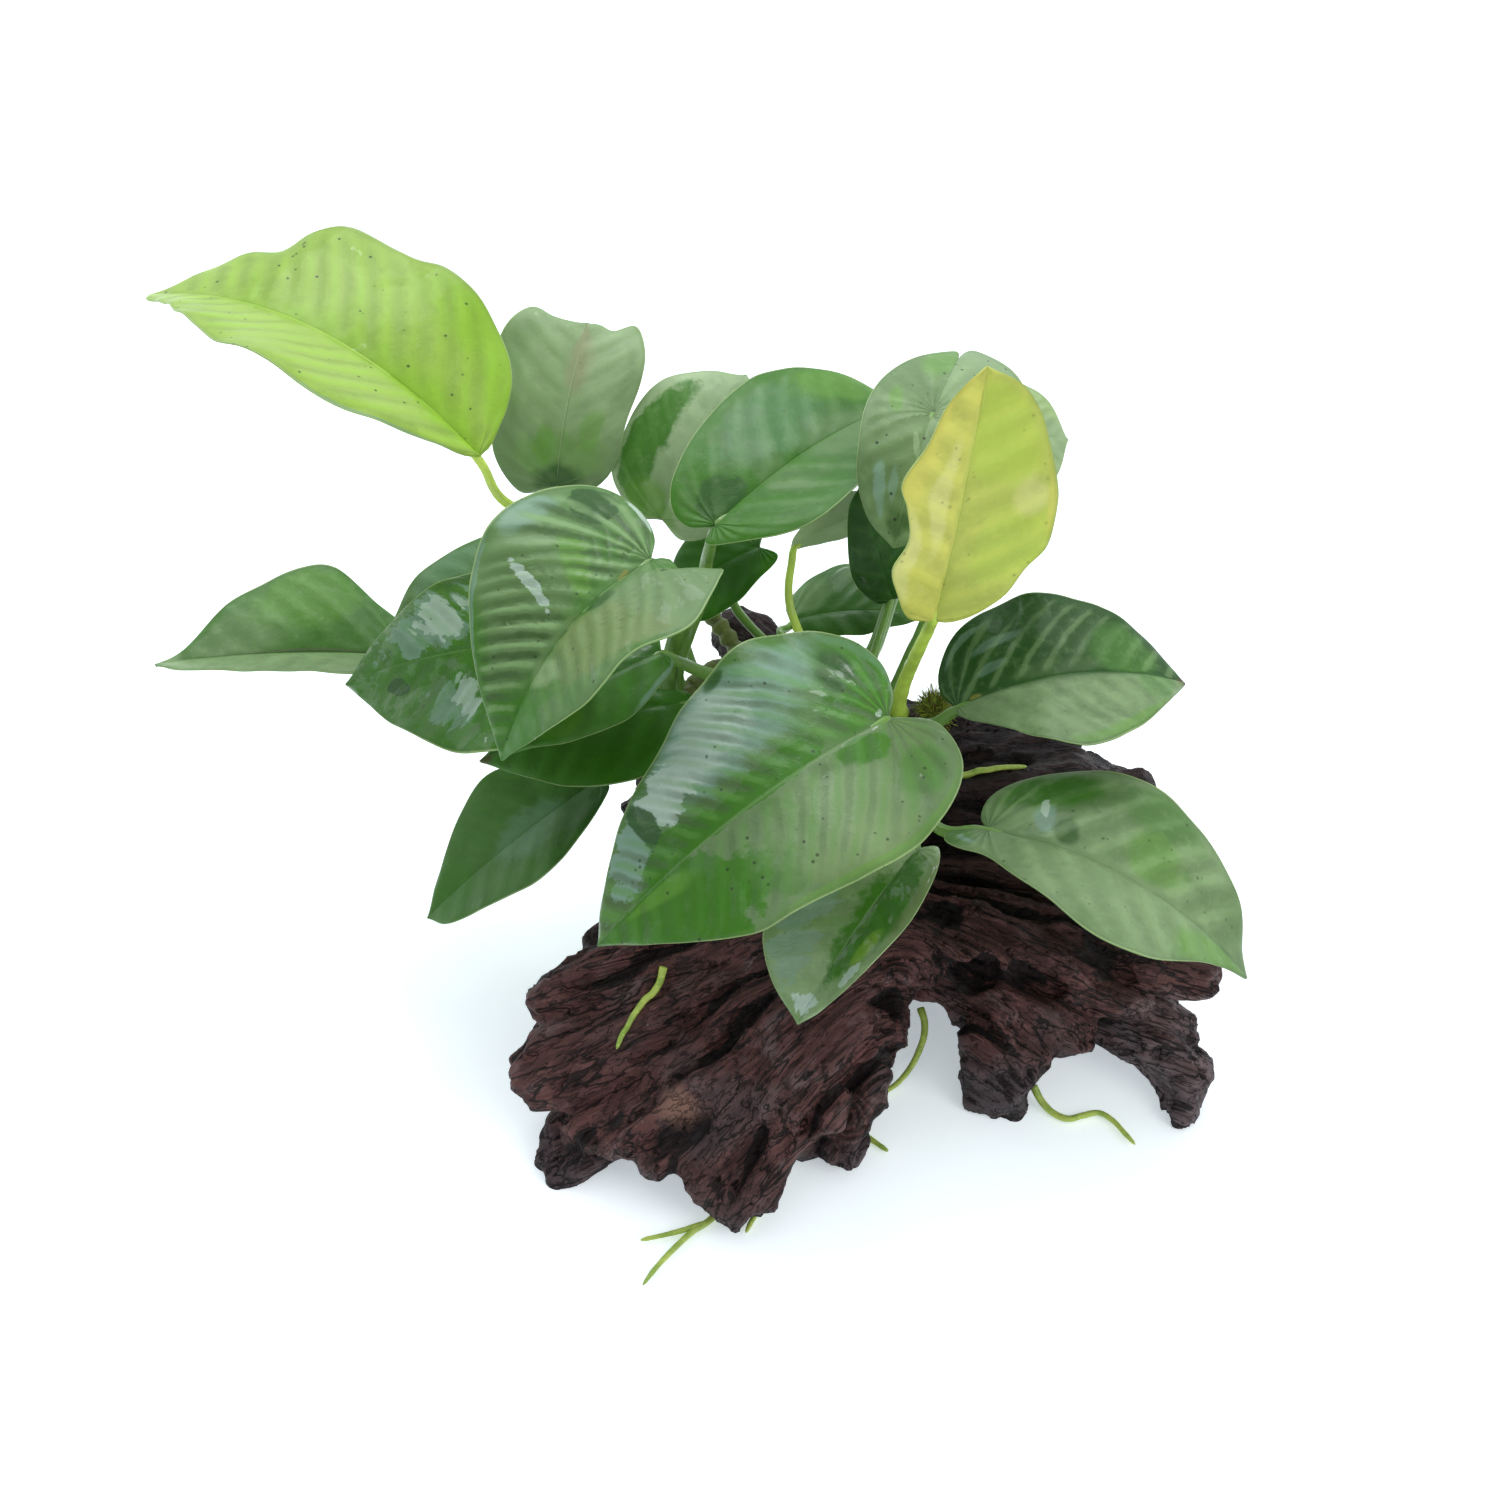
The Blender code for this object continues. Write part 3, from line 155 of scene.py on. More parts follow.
# Leaves. base and tip are the ends of the midrib, and face is the side that the upper
# surface turns to. arch is how high the midrib bows between them. fold is how far each half
# drops for each millimetre from the midrib, left and right of someone looking from base to
# tip, and a negative one rises. left and right are the outline: how far along the midrib
# and how far out. wave is the height, count and start of the ripples along the margins.
# foot is the place of the stem's foot on the rhizome, from its right end, 0, to its left
# end, 1, and the angle there, from 0 straight up to 90 towards the viewer. stem is the
# points that the stem passes through on its way to the base.
LEAVES = {
    "top_left": dict(
        base=(-91, 61, 140), tip=(-176, 112, 150), face=(0, 0.1, 1), arch=13, fold=(-0.30, -0.28),
        left=[(2, 5), (12, 15), (25, 23), (42, 26), (56, 25), (72, 19), (84, 10.5), (91, 6.5), (96, 4.5)],
        right=[(0, 6), (6, 21), (20, 30), (44, 32), (61, 30), (70, 26), (74, 19), (83, 18), (90, 9),
               (95, 3.5)],
        wave=(1.2, 3, 0.0), foot=(0.83, -60), stem=[(-55, 70, 88), (-73, 66, 113), (-86, 60, 127)],
        finish="leaf_light"),
    "upper_left": dict(
        base=(-77, 91, 108), tip=(-69, 118, 138), face=(0, -0.5, 1), arch=6, fold=(0, 0),
        left=[(-2, 4), (-3, 10), (5, 17), (17, 19), (30, 21), (38, 19.5), (43, 15), (41.5, 9), (41, 4)],
        right=[(0, 8), (7, 14), (20, 15.5), (30, 17), (37, 16), (43, 12), (40.5, 7), (41.5, 3)],
        wave=(1.5, 2, 0.3), foot=(0.76, -40), stem=[(-49, 76, 80), (-61, 85, 96)], finish="leaf_green"),
    "upper_back": dict(
        base=(-50, 81, 105), tip=(-29, 107, 130), face=(0, -0.3, 1), arch=6, fold=(0, 0),
        left=[(-2, 7), (4, 17), (18, 19), (30, 17), (38, 9)],
        right=[(-2, 7), (4, 15), (18, 18), (30, 16), (38, 9)],
        wave=(0.8, 2, 0.1), foot=(0.7, -80),
        stem=[(-46, 81, 71), (-46, 92, 82), (-39, 98, 95), (-40, 88, 105)], finish="leaf_green"),
    "upper_centre": dict(
        base=(-36, 54, 125), tip=(10, 101, 125), face=(0, -0.3, 1), arch=6, fold=(0, -0.35),
        left=[(-4, 5), (-3, 12), (4, 18), (20, 24), (42, 26), (56, 20), (64, 9)],
        right=[(-5, 2), (-2, 7), (5, 15), (14, 19), (30, 18), (48, 15), (60, 8)],
        wave=(0.8, 2, 0.2), foot=(0.8, 5), stem=[(-46, 61, 76), (-40, 65, 93), (-38.8, 64, 104)],
        finish="leaf_green"),
    "upper_right": dict(
        base=(14.6, 70, 145), tip=(5.5, 48, 123), face=(0, -0.3, 1), arch=6, fold=(0, 0),
        left=[(-8, 0.25), (-16, 0.25), (-21, 0.25), (-23, 3), (-20, 12), (-14, 18), (-4, 21.5), (8, 21),
              (20, 16), (28, 9)],
        right=[(-8, 0.25), (-15, 0.25), (-19, 0.25), (-21, 2), (-16, 9), (-8, 14), (2, 15.5), (12, 14),
               (20, 12), (28, 7)],
        wave=(0.8, 2, 0.0), foot=(0.21, -65), stem=[(4, 66, 75.5), (9, 76, 87), (14, 82, 112), (15, 78, 133)],
        finish="leaf_green"),
    "far_right": dict(
        base=(28, 90, 118), tip=(50, 87, 125), face=(0, -0.3, 1), arch=3, fold=(0, 0),
        left=[(-3, 9), (1, 16), (10, 19), (19, 12)],
        right=[(-3, 9), (2, 17), (11, 20), (20, 12)],
        wave=(0.6, 2, 0.5), foot=(0.09, -60), stem=[(12, 61, 76), (19, 72, 88)], finish="leaf_green"),
    "yellow": dict(
        base=(14, 28, 118), tip=(22, 38, 180), face=(0, -0.8, 0.5), arch=4, fold=(-0.5, 0),
        left=[(1, 6), (9, 10), (17, 12.5), (24, 10), (33, 12), (39, 14), (47, 10), (55, 7.5), (60, 4)],
        right=[(0, 4), (4, 10), (10, 14), (17, 17), (25, 20.5), (35, 21), (43, 19), (50, 16), (56, 13),
               (61, 8)],
        wave=(1.6, 4, 0.2), foot=(0.03, 30), stem=[(10, 41, 88)], finish="leaf_yellow"),
    "shade": dict(
        base=(8, 70, 88), tip=(-1, 77, 118), face=(0, -0.8, 0.5), arch=3, fold=(0, 0),
        left=[(0, 4), (9, 8), (19, 7), (28, 4)],
        right=[(0, 6), (9, 9), (19, 9), (28, 6)],
        wave=(0.5, 2, 0.0), foot=(0.16, 0), stem=[(3.5, 60, 79)], finish="leaf_green"),
    "back_low": dict(
        base=(-17, 82, 70), tip=(18, 78, 75), face=(0, -0.3, 1), arch=4, fold=(0, 0),
        left=[(-2, 6), (3, 11), (14, 15), (25, 12)],
        right=[(1, 3), (8, 6), (18, 7), (28, 4)],
        wave=(0.5, 2, 0.0), foot=(0.4, -85), stem=[(-20, 76, 71)], finish="leaf_green"),
    "under_centre": dict(
        base=(-26, 82.5, 94.5), tip=(-48, 74.5, 81.5), face=(0, -0.3, 1), arch=3, fold=(0, 0),
        left=[(-3, 4), (3, 8), (12, 11), (22, 9)],
        right=[(-3, 5), (3, 10), (11, 13), (20, 10)],
        wave=(0.5, 2, 0.0), foot=(0.48, -75), stem=[(-32, 80, 77), (-33, 87, 87)], finish="leaf_green"),
    "back_pale": dict(
        base=(-17.5, 79, 98), tip=(11, 84, 107), face=(0, 0.95, 0.3), arch=3, fold=(0, 0),
        left=[(3, 4), (12, 8), (22, 7)],
        right=[(2, 3), (10, 8), (20, 9)],
        wave=(0.4, 2, 0.0), foot=(0.36, -15), stem=[(-18, 72, 85)], finish="leaf_light"),
    "heart": dict(
        base=(-51, 37, 128), tip=(-84, 1, 100), face=(0, -0.2, 1), arch=12, fold=(-0.55, -0.20),
        left=[(-3, 3), (-1.5, 9), (-3, 14), (-7, 17), (-4, 20), (4, 25), (12, 27), (22, 21), (35, 18.5),
              (48, 9)],
        right=[(-6, 5), (-10, 14), (-9, 24), (0, 30), (14, 30), (28, 25), (44, 13)],
        wave=(0.6, 2, 0.4), foot=(0.86, 15), stem=[(-48, 58, 80), (-46, 56, 93), (-47, 48, 115)],
        finish="leaf_green"),
    "left_glossy": dict(
        base=(-70, 47, 95), tip=(-128, 47, 80), face=(0, -0.3, 1), arch=5, fold=(0, 0),
        left=[(-2, 9), (5, 22), (19, 29), (30, 27), (45, 17), (54, 7)],
        right=[(-2, 9), (8, 20), (22, 23), (37, 20), (50, 11)],
        wave=(1.0, 3, 0.1), foot=(0.91, -25), stem=[(-54, 60, 82), (-60, 56, 93.5)], finish="leaf_green"),
    "left_behind": dict(
        base=(-76, 71, 90), tip=(-121, 62, 78), face=(0, -0.3, 1), arch=5, fold=(0, 0),
        left=[(0, 7), (10, 17), (24, 17), (38, 8)],
        right=[(0, 8), (8, 18), (20, 20), (34, 15), (42, 7)],
        wave=(1.0, 2, 0.4), foot=(0.955, -60), stem=[(-60, 64, 76)], finish="leaf_green"),
    "far_left": dict(
        base=(-117.5, 69, 69.5), tip=(-179, 60, 74.5), face=(0, -0.25, 1), arch=3, fold=(-0.9, 0),
        left=[(-1, 5), (8, 14), (26, 13), (44, 9), (55, 6)],
        right=[(-3, 7), (6, 16), (17, 27), (30, 26), (44, 17), (55, 4)],
        wave=(0.7, 2, 0.2), foot=(1.0, -105), stem=[(-76, 63, 60), (-100, 68, 62)], finish="leaf_green"),
    "low_upper": dict(
        base=(-50, 50, 88), tip=(-88, 30, 72), face=(0, -0.3, 1), arch=5, fold=(0, 0),
        left=[(-1, 4), (5, 8), (16, 12), (30, 9), (40, 3)],
        right=[(-1, 5), (8, 11), (20, 14), (34, 10)],
        wave=(0.6, 2, 0.0), foot=(0.56, 60), stem=[(-38, 56, 75)], finish="leaf_green"),
    "low_middle": dict(
        base=(-43, 49, 72), tip=(-96, 40, 60), face=(0, -0.3, 1), arch=5, fold=(0, 0),
        left=[(-1, 7), (8, 15), (20, 19), (34, 16), (47, 7)],
        right=[(0, 3), (10, 6), (26, 10), (42, 7)],
        wave=(0.7, 3, 0.0), foot=(0.63, 95), stem=[(-37, 55, 68)], finish="leaf_green"),
    "hanging": dict(
        base=(-66, 42, 52), tip=(-112, 24, 18), face=(0, -0.3, 1), arch=3, fold=(-0.45, 0),
        left=[(0, 5), (10, 12), (24, 16), (40, 12), (54, 7)],
        right=[(0, 6), (10, 14), (24, 20), (36, 17), (50, 8)],
        wave=(0.8, 2, 0.3), foot=(0.99, 60), stem=[], finish="leaf_green"),
    "front": dict(
        base=(3, 9, 105), tip=(-62, -30, 72), face=(0, -0.3, 1), arch=10, fold=(0, 0),
        left=[(-4, 2), (-9, 7), (-7, 18), (4, 27), (20, 30), (36, 27), (52, 24), (66, 15), (77, 5)],
        right=[(-5, 5), (-8, 15), (-4, 25), (8, 33), (24, 33), (44, 25), (62, 17), (77, 6)],
        wave=(0.7, 4, 0.1), foot=(0.25, 50), stem=[(-4, 32, 88)], finish="leaf_green"),
    "front_low": dict(
        base=(11, -1, 72), tip=(-17, -35, 50), face=(0, -0.3, 1), arch=5, fold=(-0.6, 0),
        left=[(-3, 4), (3, 8), (16, 10), (30, 8), (43, 4)],
        right=[(-2, 7), (7, 16), (21, 21), (35, 19), (44, 11)],
        wave=(0.6, 2, 0.0), foot=(0.32, 88), stem=[(0, 36, 70), (9, 13, 71)], finish="leaf_green"),
    "right_upper": dict(
        base=(23, 39, 80), tip=(79, 45, 82), face=(0, -0.2, 1), arch=9, fold=(0, -0.2),
        left=[(-3, 6), (-2, 14), (4, 22), (18, 26), (34, 23), (46, 15), (53, 6)],
        right=[(0, 3), (7, 10), (18, 20), (29, 23), (40, 18), (50, 8)],
        wave=(0.6, 3, 0.0), foot=(0.03, 100), stem=[(17, 41, 72)], finish="leaf_green"),
    "right_lower": dict(
        base=(29, 9, 68), tip=(89, -20, 48), face=(0, -0.2, 1), arch=12, fold=(0, -0.45),
        left=[(-3, 4), (-3, 11), (3, 18), (16, 25), (32, 26), (48, 21), (60, 14), (66, 5)],
        right=[(-7, 2), (-8, 6), (-4, 9), (3, 10), (14, 16), (30, 22), (44, 20), (60, 6)],
        wave=(0.6, 2, 0.5), foot=(0.15, 85), stem=[(9, 34, 66), (17, 15, 63)], finish="leaf_green"),
}

# How many points follow each stretch of a curve, a stem, the rhizome and the old stem, how
# many places for stems the rhizome is divided into, and how many points follow a root, before
# it is laid on the wood and after.
CURVE_POINTS = 16
STEM_POINTS = 64
RHIZOME_POINTS = 90
OLD_STEM_POINTS = 40
RHIZOME_PLACES = 100
ROUTE_POINTS = 9
ROOT_POINTS = 70

# Limbs of the driftwood, each a row of sections: centre, half width and half height.
LIMBS = {
    "ridge": [((-57, 36, 28), 12, 16), ((-40, 42, 32), 22, 24), ((-8, 50, 35), 24, 27),
              ((25, 48, 35), 24, 26), ((52, 46, 32), 21, 22), ((72, 44, 26), 12, 17)],
    "apron": [((-58, 4, 32), 10, 9), ((-40, 8, 32), 20, 13), ((-5, 10, 33), 22, 14), ((30, 10, 32), 20, 13),
              ((58, 12, 31), 22, 12), ((78, 10, 30), 14, 8)],
    "heel": [((-4, 20, 30), 15, 15), ((-3, 10, 14), 13, 12), ((-1, 2, -8), 12, 12)],
    "upper_left": [((-40, 6, 34), 17, 10), ((-60, -2, 34), 11, 8), ((-75, -9, 31), 7, 6),
                   ((-83, -12, 29), 4, 4)],
    "lower_left": [((-38, -6, 28), 18, 11), ((-58, -18, 24), 14, 8), ((-75, -25, 20), 11, 7),
                   ((-84, -29, 18), 7.5, 4.5)],
    "left_foot": [((-48, -18, 16), 12, 8), ((-64, -32, 8), 10, 7), ((-73, -40, 3), 8, 5),
                  ((-79, -43, 1), 4, 3)],
    "front_lobe": [((-12, 4, 30), 22, 13), ((-24, -18, 27), 25, 12), ((-32, -34, 20), 27, 10),
                   ((-34, -46, 12), 20, 7), ((-29, -60, 5), 3.5, 3)],
    "lobe_left": [((-30, -22, 25), 12, 9), ((-52, -36, 17), 10, 7), ((-71, -42, 12), 4, 3.5)],
    "front_foot": [((-8, -18, 18), 12, 12), ((-9, -32, 10), 11, 10), ((-11, -41, 2), 10, 6)],
    "lobe_right": [((0, -6, 24), 12, 10), ((-4, -22, 18), 11, 11), ((-5, -34, 10), 8, 8)],
    "middle": [((34, 4, 30), 20, 10), ((37, -9, 22), 16, 9), ((34, -18, 11), 10.5, 9),
               ((33, -22, -3), 8.5, 6)],
    "shelf": [((42, 4, 30), 16, 10), ((48, -9, 22), 12, 8), ((51, -18, 15), 7, 5)],
    "ledge": [((48, 4, 31), 16, 8), ((60, -6, 27), 9, 6), ((71, -13, 26), 2, 2)],
    "right_snag": [((58, 12, 34), 15, 8), ((74, 0, 34), 11, 6.5), ((87, -7, 34), 6, 5)],
    "far": [((50, 14, 20), 12, 11), ((64, 0, 16), 11, 11), ((76, -11, 12), 8, 10), ((81, -20, 6), 6.5, 8),
            ((80, -29, 0), 3, 3)],
    "back_branch": [((-2, 52, 48), 14, 13), ((-16, 70, 56), 10, 9), ((-27, 84, 61), 8, 7),
                    ((-34, 93, 62), 4, 4)],
    "back_left_leg": [((-36, 52, 26), 15, 14), ((-46, 64, 10), 11, 10), ((-52, 70, -4), 9, 8)],
    "back_right_leg": [((36, 56, 26), 15, 14), ((46, 68, 10), 11, 10), ((52, 75, -4), 9, 8)],
}
LIMB_SIDES = 16
LIMB_SQUARE = 0.75

# Roots, each through its points. Those of the first group lie on the wood, whose height
# takes the place of their own.
ROOTS_ON_WOOD = {
    "root_left": [(-49, -10, 0), (-52, -15, 0), (-56, -20, 0), (-60, -27, 0)],
    "root_back": [(22, 36, 0), (31, 38, 0), (42, 40, 0)],
}
ROOTS_ON_GROUND = {
    "root_front": [(-30, -46, 3.5), (-36, -55, 1.6), (-42, -60, 1.5), (-49, -68, 1.5), (-53, -74, 1.4)],
    "root_middle": [(-18, -38, 4), (-23, -46, 1.8), (-26, -53, 1.5), (-29, -60, 1.4)],
    "root_right": [(43, -20, 5), (46, -24, 1.8), (51, -27.5, 1.6), (60, -26, 1.6), (67, -35, 1.4)],
    "root_arch": [(15, -4, 16), (16, -9, 13), (13, -14, 6), (8, -18, 1.8), (2, -21, 1.5)],
    "root_small": [(-5, -27, 1.6), (-1, -31, 1.5), (6, -37, 1.4)],
}
ROOT_BRANCH = [(-38.5, -57.5, 1.6), (-46, -60, 1.5), (-54, -62, 1.4)]
# How often a root is pushed out of the wood, and how far its middle then lies above the wood,
# as a share of its radius.
PUSHES = 6
SUNK = 0.8
# A height above everything, in millimetres.
ABOVE_ALL = 200

# How stout the stems of some leaves are beside the rest.
STOUTNESS = {"top_left": 0.78, "upper_left": 0.8, "upper_back": 0.55, "far_right": 0.7, "shade": 0.7,
             "back_low": 0.7, "under_centre": 0.7, "back_pale": 0.68, "upper_centre": 1.04}

# Holes and clefts worn in the wood: place, half sizes and depth.
PITS = [((27, -7, 34), (8, 5, 7), 9), ((20, 4, 40), (8, 5, 7), 6), ((5, -12, 27), (6.5, 5, 6), 7),
        ((17, -11, 25), (5, 4, 5), 5), ((-25, 4, 42), (9, 3.5, 7), 4)]

# Where the wood forks: the box that holds each limb beyond the fork, its centre, its turn
# about the vertical and its half sizes.
FORKS = {
    "upper_left": ((-80, -3, 35), 22, (21, 13, 30)),
    "lower_left": ((-82, -34, 20), 22, (24, 16, 30)),
    "front_lobe": ((-28, -50, 12), 14, (52, 27, 34)),
    "middle": ((38, -30, 10), 0, (18.5, 22, 25)),
    "far": ((74, -22, 6), 0, (15, 20, 13)),
    "back_branch": ((-30, 98, 62), 30, (30, 24, 26)),
}

# How each blade looks. main and second are tones of the palette, and where says which part
# of the blade the second covers. veins is the number of side veins in each half, relief how
# strongly the blade bulges between them, and bands how plainly lighter and darker bands,
# painted light and shade, show between them on the half whose places across are above 0 and
# on the other half; the bulges of each half follow bands too. wet is how much of the blade a
# film of water covers and specks how many dark points it has. Each of marks is a patch: its
# tone, its place across, from -1 at one margin to 1 at the other, and along, from 0 at the
# base to 1 at the tip, its half sizes there, how much it covers, and how soft its border is
# where that isn't the usual.
# Marks in the Misty green and White tones are painted sheen and painted glints, reflections of light in the
# film of water painted into the colour.
LOOKS = {
    "top_left": dict(
        main="young", second="sap", where="rib", share=0.7, veins=13, bands=(0.14, 0.18), relief=1.3,
        wet=0.25, specks=0.8,
        marks=[("sap", 0.80, 0.22, 0.30, 0.22, 0.85), ("sap", 0.0, 0.15, 0.30, 0.25, 0.8),
               ("mist", -0.98, 0.20, 0.08, 0.22, 0.7), ("light", -0.45, 0.45, 0.40, 0.32, 0.7),
               ("light", 0.0, 0.92, 1.0, 0.14, 0.45), ("light", 0.45, 0.62, 0.25, 0.10, 0.5)]),
    "upper_left": dict(
        main="pale", second="dusty", where="base", share=0.7, veins=6, bands=(0.14, 0.14), relief=0.8,
        wet=0.1, specks=0.15,
        marks=[("grass", 0.0, 0.28, 0.75, 0.14, 0.45), ("deep", 0.05, 0.08, 0.75, 0.14, 0.8),
               ("grass", -0.28, 0.34, 0.14, 0.12, 0.7), ("grass", 0.45, 0.42, 0.16, 0.10, 0.5),
               ("rose", 0.10, 0.85, 0.30, 0.22, 0.6), ("plum", 0.02, 0.40, 0.03, 0.32, 0.5),
               ("sage", 0.50, 0.72, 0.30, 0.20, 0.4), ("dusty", -0.8, 0.45, 0.25, 0.40, 0.6)]),
    "upper_back": dict(
        main="sage", second="pale", where="cloud", share=0.7, veins=6, bands=(0.08, 0.06), relief=0.6,
        wet=0.2, specks=0.1,
        marks=[("lush", -0.62, 0.45, 0.26, 0.36, 0.95, 0.15), ("grass", -0.45, 0.18, 0.40, 0.16, 0.7),
               ("grass", 0.1, 0.06, 0.6, 0.10, 0.6)]),
    "upper_centre": dict(
        main="lush", second="dusty", where="cloud", share=0.45, veins=8, bands=(0.16, 0.12), relief=0.7,
        wet=0.1, specks=0.2,
        marks=[("deep", -0.32, 0.17, 0.28, 0.13, 0.85, 0.15), ("mist", -0.50, 0.52, 0.36, 0.22, 0.22),
               ("grass", -0.72, 0.82, 0.30, 0.16, 0.6), ("lush", 0.70, 0.34, 0.26, 0.24, 0.7),
               ("lush", -0.90, 0.40, 0.12, 0.36, 0.7), ("dusty", 0.10, 0.72, 0.45, 0.20, 0.6)]),
    "upper_right": dict(
        main="dusty", second="pale", where="cloud", share=0.45, veins=5, bands=(0.06, 0.10), relief=0.5,
        wet=0.2, specks=0.9,
        marks=[("grass", 0.80, 0.28, 0.25, 0.07, 0.6), ("grass", 0.61, 0.48, 0.12, 0.04, 0.6),
               ("mist", 0.52, 0.80, 0.10, 0.10, 0.8), ("mist", 0.30, 0.72, 0.08, 0.09, 0.6),
               ("deep", 0.05, 0.88, 0.40, 0.08, 0.7), ("sage", 0.10, 0.42, 0.16, 0.05, 0.5, 0.1),
               ("pale", -0.7, 0.30, 0.35, 0.20, 0.6)]),
    "far_right": dict(
        main="sage", second="pale", where="cloud", share=0.5, veins=5, bands=(0.05, 0.05), relief=0.4,
        wet=0.1, specks=0.2,
        marks=[("light", -0.8, 0.7, 0.3, 0.2, 0.3)]),
    "yellow": dict(
        main="fading", second="amber", where="left", share=0.7, veins=7, bands=(0.08, 0.14), relief=1.2,
        wet=0.1, specks=0.35,
        marks=[("amber", -0.95, 0.72, 0.35, 0.26, 0.9), ("cream", -0.40, 0.58, 0.16, 0.22, 0.7),
               ("cream", -0.85, 0.35, 0.22, 0.20, 0.8), ("lime", 0.45, 0.82, 0.45, 0.18, 0.7),
               ("lime", 0.60, 0.42, 0.40, 0.20, 0.6), ("cream", 0.70, 0.60, 0.18, 0.06, 0.6),
               ("amber", 0.92, 0.56, 0.08, 0.10, 0.6)]),
    "shade": dict(
        main="deep", second="fresh", where="tip", share=0.2, veins=5, bands=(0.05, 0.05), relief=0.3,
        wet=0.3, specks=0.0,
        marks=[("dark", -0.5, 0.5, 0.4, 0.5, 0.6)]),
    "back_low": dict(
        main="fresh", second="deep", where="cloud", share=0.6, veins=6, bands=(0.08, 0.08), relief=0.4,
        wet=0.4, specks=0.1,
        marks=[("dusty", -0.5, 0.25, 0.4, 0.2, 0.7), ("deep", 0.4, 0.6, 0.5, 0.3, 0.6)]),
    "under_centre": dict(
        main="lush", second="deep", where="cloud", share=0.5, veins=5, bands=(0.0, 0.0), relief=0.2,
        wet=0.1, specks=0.0,
        marks=[("deep", -0.3, 0.4, 0.4, 0.3, 0.5)]),
    "back_pale": dict(
        main="sage", second="olive", where="cloud", share=0.6, veins=5, bands=(0.05, 0.05), relief=0.2,
        wet=0.1, specks=0.0,
        marks=[("olive", 0.3, 0.6, 0.5, 0.3, 0.5)]),
    "heart": dict(
        main="fresh", second="dusty", where="cloud", share=0.6, veins=11, bands=(0.50, 0.12), relief=3.2,
        wet=0.45, specks=0.6,
        marks=[("dusty", 0.52, 0.60, 0.45, 0.22, 0.7), ("dusty", -0.60, 0.34, 0.55, 0.20, 0.95, 0.2),
               ("olive", -0.40, 0.56, 0.50, 0.17, 0.9, 0.2), ("pale", -0.15, 0.70, 0.25, 0.06, 0.7),
               ("lush", -0.10, 0.93, 1.1, 0.13, 0.95), ("lush", 0.9, 0.80, 0.25, 0.12, 0.6),
               ("white", 0.90, 0.14, 0.14, 0.07, 0.95, 0.10),
               ("deep", 0.72, 0.29, 0.20, 0.075, 0.95, 0.06), ("mist", 0.84, 0.44, 0.14, 0.08, 0.7),
               ("gold", 0.03, 0.20, 0.12, 0.04, 0.6, 0.1), ("mist", 0.97, 0.70, 0.07, 0.18, 0.6),
               ("grass", 0.35, 0.40, 0.22, 0.05, 0.6), ("white", 0.48, 0.56, 0.20, 0.014, 0.8, 0.1),
               ("deep", -0.08, 0.37, 0.10, 0.07, 0.8)]),
    "left_glossy": dict(
        main="fresh", second="lush", where="cloud", share=0.8, veins=8, bands=(0.14, 0.14), relief=0.8,
        wet=0.8, specks=0.4,
        marks=[("mist", 0.45, 0.68, 0.42, 0.17, 0.7, 0.1), ("white", 0.50, 0.64, 0.26, 0.09, 0.8, 0.05),
               ("mist", -0.55, 0.60, 0.28, 0.08, 0.6, 0.1), ("white", -0.45, 0.56, 0.20, 0.05, 0.6, 0.05),
               ("deep", -0.42, 0.78, 0.13, 0.045, 0.95, 0.06), ("lush", -0.20, 0.92, 0.60, 0.07, 0.8),
               ("deep", 0.90, 0.45, 0.12, 0.16, 0.6)]),
    "left_behind": dict(
        main="fresh", second="dusty", where="cloud", share=0.5, veins=6, bands=(0.06, 0.06), relief=0.3,
        wet=0.3, specks=0.1,
        marks=[("mist", 0.75, 0.60, 0.25, 0.20, 0.35)]),
    "far_left": dict(
        main="fresh", second="pale", where="left", share=0.8, veins=7, bands=(0.06, 0.06), relief=0.35,
        wet=0.15, specks=0.05,
        marks=[("dusty", 0.35, 0.76, 0.45, 0.18, 0.7), ("plum", 0.04, 0.42, 0.05, 0.40, 0.5),
               ("grass", 0.65, 0.50, 0.30, 0.20, 0.5), ("pale", 0.0, 0.97, 1.0, 0.06, 0.8)]),
    "low_upper": dict(
        main="fresh", second="lush", where="cloud", share=0.8, veins=6, bands=(0.12, 0.12), relief=0.3,
        wet=0.4, specks=0.1,
        marks=[("mist", -0.90, 0.22, 0.14, 0.16, 0.7), ("deep", 0.3, 0.25, 0.6, 0.2, 0.6),
               ("grass", -0.3, 0.75, 0.5, 0.15, 0.5)]),
    "low_middle": dict(
        main="lush", second="fresh", where="tip", share=0.5, veins=7, bands=(0.12, 0.12), relief=0.3,
        wet=0.3, specks=0.05,
        marks=[("brown", -0.2, 0.98, 1.0, 0.04, 0.8)]),
    "hanging": dict(
        main="fresh", second="deep", where="base", share=0.75, veins=7, bands=(0.08, 0.08), relief=0.35,
        wet=0.3, specks=0.05,
        marks=[("mist", -0.08, 0.46, 0.42, 0.20, 0.32), ("lush", 0.0, 0.86, 0.9, 0.12, 0.6)]),
    "front": dict(
        main="dusty", second="fresh", where="right", share=0.75, veins=13, bands=(0.34, 0.20), relief=1.2,
        wet=0.7, specks=0.7,
        marks=[("mist", 0.66, 0.54, 0.36, 0.24, 0.95), ("white", 0.66, 0.56, 0.22, 0.14, 0.7),
               ("mist", 0.55, 0.84, 0.42, 0.09, 0.9, 0.1), ("white", 0.62, 0.70, 0.26, 0.06, 0.95, 0.08),
               ("deep", 0.55, 0.765, 0.34, 0.022, 0.9, 0.12), ("lush", 0.10, 0.50, 0.19, 0.26, 0.95, 0.06),
               ("lush", 0.20, 0.74, 0.24, 0.14, 0.95, 0.06), ("lush", -0.42, 0.86, 0.66, 0.24, 0.97, 0.08),
               ("grass", -0.20, 0.84, 0.14, 0.10, 0.6), ("lush", -0.62, 0.72, 0.10, 0.12, 0.8),
               ("deep", 0.90, 0.48, 0.07, 0.03, 0.8), ("fresh", -0.60, 0.60, 0.22, 0.07, 0.6, 0.15),
